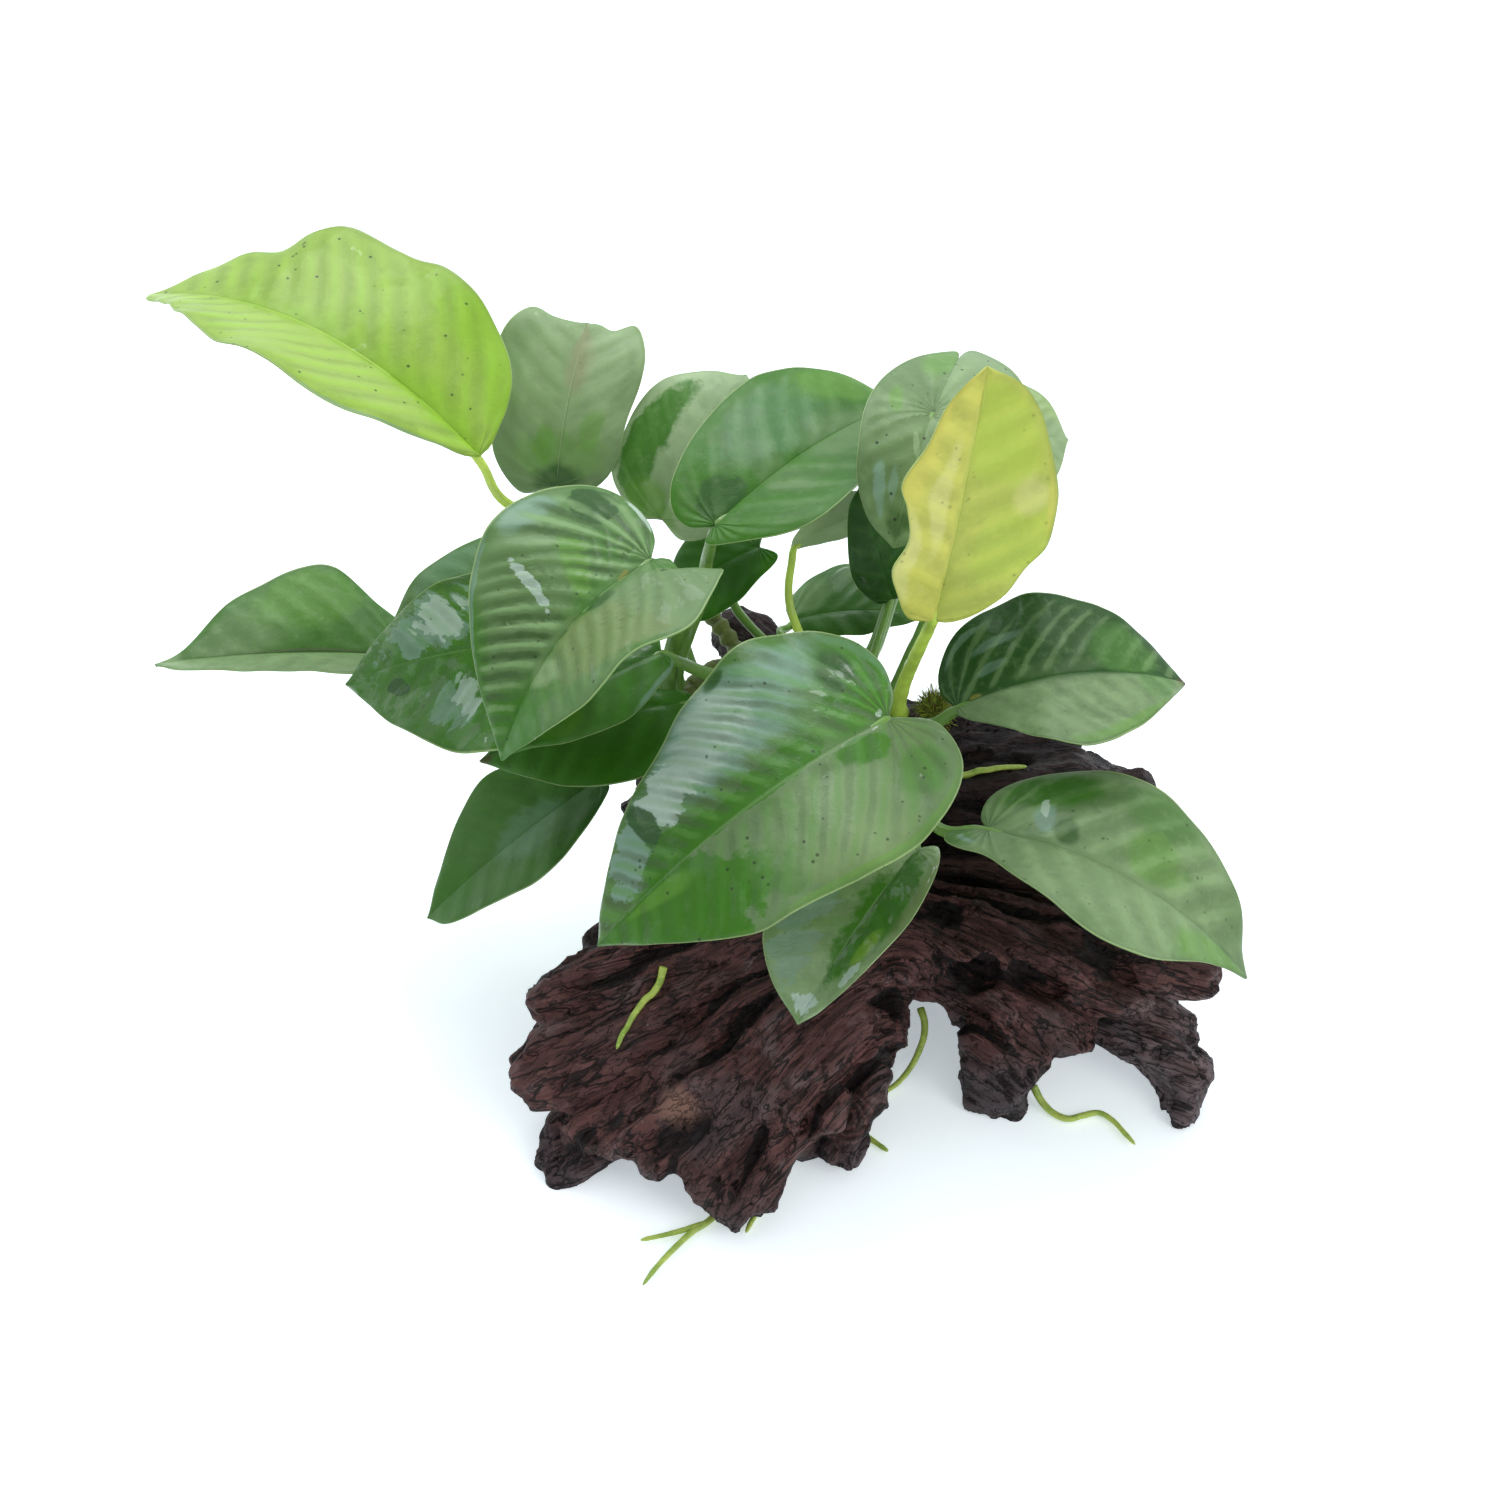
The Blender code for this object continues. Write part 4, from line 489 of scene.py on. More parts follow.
               ("fresh", -0.30, 0.50, 0.30, 0.04, 0.5, 0.15), ("olive", -0.75, 0.45, 0.20, 0.12, 0.6),
               ("lush", 0.50, 0.16, 0.50, 0.15, 0.85), ("deep", 0.60, 0.24, 0.16, 0.05, 0.9),
               ("mist", 0.88, 0.16, 0.10, 0.10, 0.25), ("pale", -0.50, 0.42, 0.40, 0.18, 0.5),
               ("grass", -0.94, 0.40, 0.08, 0.30, 0.5), ("white", 0.30, 0.08, 0.08, 0.02, 0.9, 0.1),
               ("lush", -0.20, 0.22, 0.20, 0.10, 0.9, 0.15), ("fresh", -0.65, 0.24, 0.20, 0.08, 0.7)]),
    "front_low": dict(
        main="pale", second="fresh", where="cloud", share=0.4, veins=6, bands=(0.12, 0.12), relief=0.5,
        wet=0.9, specks=0.2,
        marks=[("lush", -0.25, 0.48, 0.55, 0.36, 0.97, 0.15), ("olive", -0.85, 0.35, 0.20, 0.20, 0.7),
               ("sap", -0.55, 0.62, 0.16, 0.10, 0.6), ("white", 0.10, 0.93, 0.50, 0.05, 0.95, 0.08),
               ("mist", 0.65, 0.62, 0.30, 0.20, 0.6, 0.15), ("white", -0.70, 0.74, 0.12, 0.06, 0.8, 0.08)]),
    "right_upper": dict(
        main="deep", second="pale", where="right", share=0.75, veins=9, bands=(0.10, 0.14), relief=0.7,
        wet=0.15, specks=0.15,
        marks=[("mist", -0.78, 0.27, 0.06, 0.10, 0.45), ("mist", -0.55, 0.36, 0.06, 0.10, 0.45),
               ("mist", -0.35, 0.30, 0.05, 0.08, 0.4), ("dusty", -0.60, 0.62, 0.40, 0.12, 0.15),
               ("dusty", -0.15, 0.50, 0.12, 0.20, 0.25), ("gold", -0.08, 0.14, 0.10, 0.04, 0.7),
               ("brown", 0.0, 0.99, 1.0, 0.03, 0.8), ("fresh", -0.40, 0.80, 0.40, 0.12, 0.8),
               ("grass", 0.88, 0.65, 0.10, 0.20, 0.5), ("fresh", 0.35, 0.88, 0.5, 0.08, 0.7)]),
    "right_lower": dict(
        main="dusty", second="pale", where="cloud", share=0.5, veins=7, bands=(0.10, 0.16), relief=0.9,
        wet=0.3, specks=0.5,
        marks=[("lush", -0.68, 0.26, 0.24, 0.17, 0.9), ("fresh", -0.75, 0.55, 0.20, 0.16, 0.6),
               ("mist", -0.35, 0.27, 0.16, 0.05, 0.9), ("white", -0.45, 0.27, 0.12, 0.018, 0.8, 0.08),
               ("deep", -0.24, 0.34, 0.16, 0.05, 0.8), ("plum", 0.02, 0.45, 0.03, 0.30, 0.5),
               ("grass", -0.35, 0.62, 0.24, 0.10, 0.5), ("fresh", 0.80, 0.10, 0.24, 0.07, 0.8),
               ("mist", 0.70, 0.14, 0.06, 0.03, 0.8), ("grass", 0.55, 0.86, 0.50, 0.12, 0.6),
               ("sage", 0.35, 0.50, 0.30, 0.16, 0.2)]),
}


# Settings that a user would change

def colour_setting(name, description, default):
    return FloatVectorProperty(name=name, description=description, default=default, min=0, max=1,
                               subtype="COLOR")


def length_setting(name, description, default, low, high):
    return FloatProperty(name=name, description=description, default=default, min=low, max=high,
                         unit="LENGTH")


class AnubiasBladeSettings(bpy.types.PropertyGroup):
    thickness: length_setting("Thickness", "Thickness of a blade beside its midrib", 0.0008, 0.0003, 0.002)
    edge: FloatProperty(name="Edge", description="Share of the thickness that is left at the margin",
                        default=0.45, min=0.1, max=1, subtype="FACTOR")
    relief: length_setting("Relief", "Height of the bulges between the side veins", 0.00042, 0, 0.002)
    rib: length_setting("Midrib", "How far the midrib stands out below a blade", 0.0008, 0, 0.002)
    ripple: length_setting("Ripple", "Height of the small ripples of the margins", 0.0007, 0, 0.003)
    film: FloatProperty(name="Water film", description="Gloss of the film of water on wet blades",
                        default=1.0, min=0, max=1, subtype="FACTOR")
    dark: colour_setting("Dark", "Blades in the deepest shade", (0.012, 0.042, 0.008))
    deep: colour_setting("Deep green", "Shaded and old blades", (0.016, 0.072, 0.006))
    lush: colour_setting("Lush green", "Wet green without gloss", (0.036, 0.150, 0.004))
    fresh: colour_setting("Fresh green", "Healthy blades", (0.062, 0.170, 0.026))
    grass: colour_setting("Grass green", "Brighter patches", (0.110, 0.270, 0.025))
    dusty: colour_setting("Grey green", "Matt parts of blades", (0.125, 0.210, 0.080))
    olive: colour_setting("Olive", "Yellower matt parts", (0.150, 0.210, 0.070))
    pale: colour_setting("Pale green", "Blades that light shines through", (0.225, 0.330, 0.150))
    sage: colour_setting("Sage", "The palest matt blades", (0.310, 0.420, 0.220))
    sap: colour_setting("Sap green", "Bright green beside a young midrib", (0.215, 0.400, 0.022))
    # Misty green and White are painted reflections: the sheen and the glints of light in the film of water,
    # painted into the colour.
    mist: colour_setting("Misty green", "Parts under a bright film of water", (0.190, 0.310, 0.230))
    white: colour_setting("White", "The brightest film of water", (0.420, 0.530, 0.440))
    young: colour_setting("Young green", "A young blade", (0.250, 0.395, 0.050))
    light: colour_setting("Light green", "The lightest parts of a young blade", (0.310, 0.440, 0.100))
    lime: colour_setting("Lime", "Greener parts of a dying blade", (0.440, 0.570, 0.075))
    fading: colour_setting("Fading yellow", "A dying blade", (0.450, 0.510, 0.095))
    cream: colour_setting("Cream", "The palest parts of a dying blade", (0.600, 0.600, 0.210))
    amber: colour_setting("Amber", "A dying blade's older half", (0.550, 0.520, 0.100))
    rose: colour_setting("Rose", "Pinkish patches", (0.270, 0.260, 0.150))
    plum: colour_setting("Plum", "Purplish midribs", (0.110, 0.105, 0.075))
    gold: colour_setting("Gold", "Old wrinkles at the base", (0.230, 0.210, 0.040))
    brown: colour_setting("Brown", "Withered tips", (0.080, 0.050, 0.020))
    rim: colour_setting("Margin", "The thin edge of the blades", (0.280, 0.390, 0.150))


class AnubiasStemSettings(bpy.types.PropertyGroup):
    radius: length_setting("Radius", "Radius of a leaf's stem halfway up", 0.0017, 0.0005, 0.004)
    flare: FloatProperty(name="Foot", description="How much wider a stem is at its foot",
                         default=0.35, min=0, max=1, subtype="FACTOR")
    green: colour_setting("Green", "Colour of the stems of old leaves", (0.130, 0.270, 0.040))
    lime: colour_setting("Lime", "Colour of the stems of young leaves", (0.500, 0.680, 0.090))


class AnubiasRhizomeSettings(bpy.types.PropertyGroup):
    voxel: length_setting("Voxel", "Size of the rhizome's faces", 0.00042, 0.0003, 0.002)
    wrinkle: length_setting("Wrinkles", "Height of its rings and wrinkles", 0.00045, 0, 0.002)
    skin: colour_setting("Skin", "Colour of the rhizome", (0.150, 0.190, 0.035))
    scar: colour_setting("Scars", "Colour of its rings and scars", (0.075, 0.055, 0.020))


class AnubiasRootSettings(bpy.types.PropertyGroup):
    radius: length_setting("Radius", "Radius of a root where it leaves the plant", 0.0010, 0.0003, 0.003)
    lime: colour_setting("Lime", "Colour of the roots", (0.420, 0.520, 0.090))
    tip: colour_setting("Green", "Colour of their darker stretches", (0.190, 0.330, 0.025))


class AnubiasMossSettings(bpy.types.PropertyGroup):
    fibres: IntProperty(name="Fibres", description="Number of fibres in the tuft", default=620,
                        min=10, max=3000)
    radius: length_setting("Radius", "Radius of a fibre", 0.00014, 0.00005, 0.001)
    colour: colour_setting("Colour", "Colour of fresh moss", (0.330, 0.380, 0.050))
    dead: colour_setting("Dead", "Colour of dead moss", (0.170, 0.085, 0.025))


class AnubiasWoodSettings(bpy.types.PropertyGroup):
    voxel: length_setting("Voxel", "Size of the wood's faces", 0.0009, 0.0005, 0.004)
    ridges: length_setting("Ridges", "Height of the worn ridges along the grain", 0.0015, 0, 0.005)
    splinters: length_setting("Splinters", "Height of its splinters and threads", 0.00075, 0, 0.003)
    clefts: length_setting("Clefts", "Depth of the clefts along the grain", 0.0035, 0, 0.01)
    red: colour_setting("Reddish", "Colour of the upper side", (0.108, 0.046, 0.041))
    rust: colour_setting("Rust", "Colour of its redder patches", (0.165, 0.058, 0.046))
    # Edges colours the high ridges and edges, paler partly from wear and partly as a painted highlight, and
    # the pale far right limb.
    edge: colour_setting("Edges", "Colour of its worn ridges and edges", (0.185, 0.135, 0.140))
    # Dark is partly painted shade: it darkens the hollows, the cracks and the top at the back, and it also
    # colours the whorl's rings.
    dark: colour_setting("Dark", "Colour of the hollows and streaks", (0.012, 0.008, 0.008))
    # Grey colours random patches and, a little darker, the wood low down near the ground.
    grey: colour_setting("Grey", "Colour of the weathered lower sides", (0.085, 0.070, 0.078))
    tan: colour_setting("Tan", "Colour of the worn knot", (0.270, 0.145, 0.105))


class AnubiasStageSettings(bpy.types.PropertyGroup):
    glow: FloatProperty(name="Floor glow", description="Light that the lit-through floor gives off",
                        default=0.42, min=0, max=2)
    floor: colour_setting("Floor", "Colour of the floor", (0.90, 0.92, 0.93))
    sky: colour_setting("Sky", "Colour of the light from all around", (0.90, 0.95, 1.0))
    sky_strength: FloatProperty(name="Sky strength", description="Strength of that light behind and above",
                                default=1.32, min=0, max=5)
    room_strength: FloatProperty(name="Room strength",
                                 description="Strength of the light from the viewer's side",
                                 default=0.62, min=0, max=5)
    window: FloatProperty(name="Window", description="Power of the wide light behind the plant, in watts",
                          default=6.5, min=0, max=200)
    fill: FloatProperty(name="Fill", description="Power of the soft light in front, in watts",
                        default=3, min=0, max=200)


class AnubiasSettings(bpy.types.PropertyGroup):
    blade: PointerProperty(type=AnubiasBladeSettings)
    stem: PointerProperty(type=AnubiasStemSettings)
    rhizome: PointerProperty(type=AnubiasRhizomeSettings)
    root: PointerProperty(type=AnubiasRootSettings)
    moss: PointerProperty(type=AnubiasMossSettings)
    wood: PointerProperty(type=AnubiasWoodSettings)
    stage: PointerProperty(type=AnubiasStageSettings)


# Materials

class Field:
    """A value that varies over a surface. Sums and products of fields add Math nodes."""

    def __init__(self, look, socket):
        self.look = look
        self.socket = socket

    def math(self, operation, *values):
        return self.look.node("ShaderNodeMath", {"operation": operation}, dict(enumerate(values)))

    def __add__(self, other):
        return self.math("ADD", self, other)

    __radd__ = __add__

    def __sub__(self, other):
        return self.math("SUBTRACT", self, other)

    def __rsub__(self, other):
        return self.math("SUBTRACT", other, self)

    def __mul__(self, other):
        return self.math("MULTIPLY", self, other)

    __rmul__ = __mul__

    def __truediv__(self, other):
        return self.math("DIVIDE", self, other)

    def __pow__(self, other):
        return self.math("POWER", self, other)

    def __abs__(self):
        return self.math("ABSOLUTE", self)

    def __gt__(self, other):
        return self.math("GREATER_THAN", self, other)

    def sine(self):
        return self.math("SINE", self)

    def rise(self, low, high):
        """From 0 at low to 1 at high, smoothly."""
        return self.look.node("ShaderNodeMapRange", {"interpolation_type": "SMOOTHSTEP", "clamp": True},
                              {"Value": self, "From Min": low, "From Max": high})


class Look:
    """A material, with one Principled shader that its fields feed."""

    def __init__(self, name):
        self.material = bpy.data.materials.new(name)
        self.material.use_nodes = True
        self.tree = self.material.node_tree
        self.shader = self.tree.nodes["Principled BSDF"]

    def node(self, kind, settings=None, sockets=None, output=0):
        made = self.tree.nodes.new(kind)
        for key, value in (settings or {}).items():
            setattr(made, key, value)
        self.fill(made, sockets or {})
        return Field(self, made.outputs[output])

    def fill(self, node, sockets):
        for key, value in sockets.items():
            socket = node.inputs[key]
            if isinstance(value, Field):
                self.tree.links.new(value.socket, socket)
            elif socket.type == "RGBA":
                socket.default_value = (*value[:3], 1)
            else:
                socket.default_value = value

    def place(self):
        """The object's own coordinates in metres."""
        return self.node("ShaderNodeTexCoord", output="Object")

    def attribute(self, name, output="Fac"):
        return self.node("ShaderNodeAttribute", {"attribute_name": name}, output=output)

    def parts(self, vector):
        split = self.tree.nodes.new("ShaderNodeSeparateXYZ")
        self.tree.links.new(vector.socket, split.inputs[0])
        return [Field(self, socket) for socket in split.outputs]

    def stretched(self, vector, factors, shift=(0, 0, 0)):
        return self.node("ShaderNodeVectorMath", {"operation": "MULTIPLY_ADD"},
                         {0: vector, 1: factors, 2: shift})

    def cloud(self, vector, scale, detail=3, roughness=0.55, distortion=0):
        """Soft noise about 0.5. The scale is how many of its lumps lie on a metre."""
        return self.node("ShaderNodeTexNoise", None,
                         {"Vector": vector, "Scale": scale, "Detail": detail, "Roughness": roughness,
                          "Distortion": distortion})

    def cells(self, vector, scale):
        """The distance to the nearest of many scattered points, in sizes of a cell."""
        return self.node("ShaderNodeTexVoronoi", None, {"Vector": vector, "Scale": scale}, output="Distance")

    def away(self, vector, spot):
        """Distance in metres from a spot given in millimetres."""
        return self.node("ShaderNodeVectorMath", {"operation": "DISTANCE"},
                         {0: vector, 1: [v * MM for v in spot]}, output="Value")

    def mix(self, factor, first, second):
        """The second colour over the first by the factor."""
        return self.node("ShaderNodeMix", {"data_type": "RGBA", "clamp_factor": True},
                         {0: factor, 6: first, 7: second}, output=2)

    def bump(self, height, distance):
        return self.node("ShaderNodeBump", None, {"Height": height, "Distance": distance, "Strength": 1.0})

    def finish(self, **sockets):
        """Feed the shader. Underscores in the names stand for spaces."""
        self.fill(self.shader, {key.replace("_", " "): value for key, value in sockets.items()})
        return self.material


def scaled(colour, factor):
    return [min(1.0, channel * factor) for channel in colour]


def blade_look(name, settings):
    """A leaf's skin: tones, patches, veins, margin, specks and a film of water."""
    about = LOOKS[name]
    main, second = getattr(settings, about["main"]), getattr(settings, about["second"])
    look = Look("leaf_" + name)
    across, run = look.parts(look.node("ShaderNodeUVMap", {"uv_map": "UVMap"}))[:2]
    place = look.place()
    side = across * 2 - 1
    out = abs(side)
    broad = look.cloud(place, 55, 3, 0.55)
    ragged = look.cloud(place, 170, 4, 0.62)
    patchy = look.cloud(place, 420, 4, 0.65)
    fine = look.cloud(place, 1300, 3, 0.6)
    drift = (broad - 0.5) * 0.6 + (ragged - 0.5) * 0.35
    # Where the second tone may lie.
    zones = {
        "cloud": (broad + (ragged - 0.5) * 0.3).rise(0.44, 0.58),
        "left": (drift * 0.5 - side).rise(-0.06, 0.20),
        "right": (side + drift * 0.5).rise(-0.06, 0.20),
        "tip": (run + drift).rise(0.35, 0.9),
        "base": (1 - run + drift).rise(0.50, 0.90),
        "rib": (1 - out * 1.5 - run * 0.5 + drift).rise(0.1, 0.75),
    }
    colour = look.mix(zones[about["where"]] * about["share"], main, second)
    colour = look.mix(ragged.rise(0.40, 0.68) * 0.30, colour, scaled(main, 0.62))
    # The side veins, counted along the blade, and streaks that run with them.
    phase = look.attribute("vein") + (ragged - 0.5) * 0.4
    number = list(LOOKS).index(name)
    by_vein = look.node("ShaderNodeCombineXYZ", None, {"X": phase, "Y": side * 1.2, "Z": number * 3.7})
    streaks = look.cloud(by_vein, 1.7, 4, 0.62)
    # Patches. Crisp ones and the painted sheen and glints of the water film have ragged borders, and the
    # painted sheen and glints are streaked too.
    for tone, left_right, along, wide, long, share, *edge in about["marks"]:
        soft = edge[0] if edge else USUAL_SOFTNESS
        uneven = drift * 1.5 if soft > CRISP else drift * 2.0 + (patchy - 0.5) * 0.6
        # Painted sheen and glints: reflections in the film of water, streaked along the veins.
        if tone in ("mist", "white"):
            uneven = uneven + (streaks - 0.5) * (1.2 if soft > CRISP else 2.6)
        far = (((side - left_right) / wide) ** 2 + ((run - along) / long) ** 2) ** 0.5 + uneven
        colour = look.mix((1 - far.rise(0.9 - soft, 0.9 + soft)) * share, colour, getattr(settings, tone))
    # Painted light and shade: lighter and darker bands between the veins, lit and shaded copies of the tones.
    wave = (phase * (2 * math.pi)).sine() * out.rise(0.03, 0.2) * (1 - out.rise(0.70, 0.98))
    above_painted_shading, below_painted_shading = about["bands"]
    strength = (side > 0) * (above_painted_shading - below_painted_shading) + below_painted_shading
    strength = strength * (broad.rise(0.35, 0.6) * 1.2 + 0.4)
    colour = look.mix(wave.rise(0.1, 1.0) * strength, colour, scaled(second, 1.5))
    colour = look.mix((wave * -1).rise(0.1, 1.0) * strength, colour, scaled(main, 0.45))
    colour = look.mix((1 - patchy).rise(0.48, 0.78) * 0.16, colour, scaled(second, 1.4))
    # The midrib, the margin and the dark points.
    rib = (1 - out.rise(0.008, 0.045)) * (1 - run.rise(0.6, 1.0) * 0.6)
    colour = look.mix(rib * 0.35, colour, scaled(main, 1.6))
    edge = (out + (patchy - 0.5) * 0.03).rise(0.962, 0.990)
    colour = look.mix(out.rise(0.90, 0.96) * 0.3, colour, scaled(main, 0.6))
    colour = look.mix(edge * 0.75, colour, settings.rim)
    point = look.cells(place, 360)
    chosen = look.cloud(place, 230, 1)
    speck = (1 - point.rise(0.08, 0.20)) * chosen.rise(0.52, 0.58)
    colour = look.mix(speck * about["specks"], colour, SPECK_COLOUR)
    under = look.attribute("under")
    colour = look.mix(under * 0.7, colour, scaled(main, 1.25))
    # The film of water and the beads in it.
    pooled = look.cloud(place, 90, 3, 0.5, 1.2) * 0.5 + streaks * 0.5
    film = (pooled + (about["wet"] - 1) * 0.2).rise(0.46, 0.50)
    bead = look.cells(place, 620).rise(0.16, 0.32)
    height = patchy * 0.5 + fine * 0.25 + wave * 0.6 + rib * -0.8 + film * (0.5 - bead * 0.25)
    return look.finish(
        Base_Color=colour, Roughness=0.48 + (fine - 0.5) * 0.16 + (patchy - 0.5) * 0.15 - film * 0.1,
        Coat_Weight=(film * 0.8 + 0.2) * (settings.film * min(1, 0.3 + about["wet"])) * (1 - under),
        Coat_Roughness=0.04, Coat_IOR=WATER_IOR, Specular_IOR_Level=MATT_SPECULAR,
        Normal=look.bump(height, 0.00016))


def stem_look(name, colour, foot):
    """A leaf stem's skin, darker at its foot."""
    look = Look(name)
    place = look.place()
    broad = look.cloud(place, 160, 3)
    fine = look.cloud(place, 1500, 3, 0.6)
    along = look.attribute("along")
    shade = look.mix(broad.rise(0.35, 0.7) * 0.5, colour, scaled(colour, 0.6))
    shade = look.mix((1 - along + (broad - 0.5) * 0.3).rise(0.86, 1.10) * 0.7, shade, foot)
    shade = look.mix(fine.rise(0.62, 0.72) * 0.35, shade, scaled(colour, 0.35))
    return look.finish(Base_Color=shade, Roughness=0.36 + fine * 0.16,
                       Coat_Weight=broad.rise(0.45, 0.6) * 0.5, Coat_Roughness=0.12,
                       Normal=look.bump(fine + broad * 2, 0.00010))


def rhizome_look(settings):
    look = Look("rhizome_skin")
    place = look.place()
    worn = look.attribute("worn")
    broad = look.cloud(place, 140, 4, 0.6)
    fine = look.cloud(place, 900, 4, 0.65)
    colour = look.mix(broad.rise(0.35, 0.65) * 0.7, settings.skin, scaled(settings.skin, 0.5))
    colour = look.mix((1 - worn).rise(0.40, 0.75) * 0.85, colour, settings.scar)
    colour = look.mix(fine.rise(0.58, 0.70) * 0.5, colour, scaled(settings.skin, 1.9))
    return look.finish(Base_Color=colour, Roughness=0.50 + fine * 0.3,
                       Coat_Weight=broad.rise(0.5, 0.65) * 0.3, Coat_Roughness=0.2,
                       Normal=look.bump(fine, 0.0003))


def root_look(settings):
    look = Look("root_skin")
    place = look.place()
    broad = look.cloud(place, 190, 3, 0.6)
    fine = look.cloud(place, 1400, 3, 0.6)
    colour = look.mix(broad.rise(0.42, 0.62) * 0.75, settings.lime, settings.tip)
    colour = look.mix(fine.rise(0.55, 0.70) * 0.4, colour, scaled(settings.lime, 1.6))
    return look.finish(Base_Color=colour, Roughness=0.42 + fine * 0.2, Coat_Weight=broad.rise(0.4, 0.6) * 0.4,
                       Coat_Roughness=0.15, Normal=look.bump(fine + broad, 0.00012))


def moss_look(settings):
    look = Look("moss_fibres")
    tone = look.attribute("tone")
    colour = look.mix(tone.rise(0.0, 0.75), scaled(settings.colour, 0.45), scaled(settings.colour, 1.35))
    colour = look.mix(tone.rise(0.84, 0.88), colour, settings.dead)
    return look.finish(Base_Color=colour, Roughness=0.7 + tone * 0.1)


def wood_look(settings):
    """Old wet wood: fibres and cracks along the grain, hollows, cracks and the top at the back darkened as
    painted shade, edges paled partly by wear and partly by a painted highlight, a knot and a whorl.
    """
    look = Look("driftwood_surface")
    place = look.place()
    grain = look.attribute("grain", "Vector")
    worn = look.attribute("worn")
    x, y, z = look.parts(place)
    streak = look.cloud(look.stretched(grain, (0.30, 0.020, 0.16)), 1, 5, 0.65)
    fibre = look.cloud(look.stretched(grain, (0.95, 0.045, 0.50)), 1, 5, 0.72)
    broad = look.cloud(place, 38, 3, 0.55)
    gnarl = look.cloud(place, 150, 5, 0.68)
    fine = look.cloud(place, 700, 4, 0.7)
    wide = look.cloud(look.stretched(grain, (0.20, 0.012, 0.10), (7, 3, 1)), 1, 3, 0.6)
    narrow = look.cloud(look.stretched(grain, (0.55, 0.035, 0.30), (2, 9, 4)), 1, 3, 0.6)
    crack = 1 - abs(wide - 0.5).rise(0.004, 0.022)
    split = 1 - abs(narrow - 0.5).rise(0.004, 0.028)
    # Reddish wood with fibres, rusty and grey patches, and worn ridges and edges paler partly from wear and
    # partly as a painted highlight.
    colour = look.mix(streak.rise(0.40, 0.60), scaled(settings.red, 0.55), settings.red)
    colour = look.mix(fibre.rise(0.50, 0.66) * 0.55, colour, scaled(settings.red, 1.9))
    colour = look.mix(gnarl.rise(0.50, 0.62) * 0.45, colour, settings.rust)
    colour = look.mix(broad.rise(0.50, 0.66) * 0.45, colour, settings.grey)
    # Paler where the relief is high: partly wear, partly a painted highlight.
    colour = look.mix((worn + (gnarl - 0.5) * 0.7).rise(0.70, 0.95) * 0.5, colour, settings.edge)
    # Greyer low down, near black at the back as painted shade, where the top of the trunk lies under the
    # leaves, and pale on the far right limb.
    low = (1 - z * 45 + (broad - 0.5) * 1.2).rise(0.15, 0.75)
    colour = look.mix(low * 0.7, colour, scaled(settings.grey, 0.8))
    # Painted shade: the wood at the back, under the leaves, is darkened to near black.
    back = (y + (broad - 0.5) * 0.02).rise(0.012, 0.034) * (1 - low)
    colour = look.mix(back * 0.80, colour, scaled(settings.dark, 1.2))
    far = (x + (gnarl - 0.5) * 0.01).rise(0.060, 0.068)
    far = far * (1 - y.rise(0.0, 0.02)) * (1 - z.rise(0.026, 0.034))
    # Painted shade: the hollows, where the relief is low, are darkened to near black.
    colour = look.mix((1 - worn + (gnarl - 0.5) * 0.4).rise(0.46, 0.64) * 0.92, colour, settings.dark)
    colour = look.mix(far * fibre.rise(0.3, 0.7) * 0.8, colour, scaled(settings.edge, 1.1))
    # Cracks darkened as painted shade, the pale knot, the ringed whorl and pale flecks.
    colour = look.mix(crack * 0.85, colour, scaled(settings.dark, 0.5))
    colour = look.mix(split * 0.6, colour, settings.dark)
    knot = look.away(place, KNOT_PLACE) + (gnarl - 0.5) * 0.008
    colour = look.mix((1 - knot.rise(0.003, 0.0085)) * (0.9 - split * 0.5), colour, settings.tan)
    whorl = look.away(place, WHORL_PLACE) + (broad - 0.5) * 0.004
    turns = (whorl * 3600 + streak * 3).sine()
    colour = look.mix((1 - whorl.rise(0.003, 0.011)) * (turns * 0.45 + 0.3), colour, settings.dark)
    colour = look.mix(fine.rise(0.66, 0.72) * gnarl.rise(0.52, 0.60) * 0.5, colour, FLECK_COLOUR)
    height = fibre * 1.0 + streak * 1.2 + gnarl * 0.6 + fine * 0.2 - crack * 1.0 - split * 0.6
    height = height + (1 - whorl.rise(0.004, 0.011)) * turns * 0.4
    return look.finish(Base_Color=colour, Roughness=0.46 + fine * 0.25 + low * 0.1,
                       Coat_Weight=gnarl.rise(0.48, 0.65) * 0.15 * (1 - back), Coat_Roughness=0.25,
                       Specular_IOR_Level=MATT_SPECULAR, Normal=look.bump(height, 0.0012))


# Shapes

def deselect():
    bpy.context.view_layer.update()
    if bpy.context.object and bpy.context.object.mode != "OBJECT":
        bpy.ops.object.mode_set(mode="OBJECT")
    bpy.ops.object.select_all(action="DESELECT")


def choose(item):
    deselect()
    bpy.context.view_layer.objects.active = item
    item.select_set(True)


def apply_modifier(item, kind, **values):
    """Add a modifier with these values and apply it."""
    choose(item)
    modifier = item.modifiers.new(kind.lower(), kind)
    for key, value in values.items():
        setattr(modifier, key, value)
    bpy.ops.object.modifier_apply(modifier=modifier.name)


def edit_all(item, operator, **values):
    """Run an operator of edit mode on all of a mesh."""
    choose(item)
    bpy.ops.object.mode_set(mode="EDIT")
    bpy.ops.mesh.select_all(action="SELECT")
    operator(**values)
    bpy.ops.object.mode_set(mode="OBJECT")


def wear(item, material):
    item.data.materials.clear()
    item.data.materials.append(material)


def store(item, name, values, kind="FLOAT"):
    """Keep one number, or three, for each point of a mesh."""
    data = item.data
    if name in data.attributes:
        data.attributes.remove(data.attributes[name])
    held = data.attributes.new(name, kind, "POINT")
    values = np.array(values, np.float32)
    held.data.foreach_set("vector" if kind == "FLOAT_VECTOR" else "value", values.ravel())


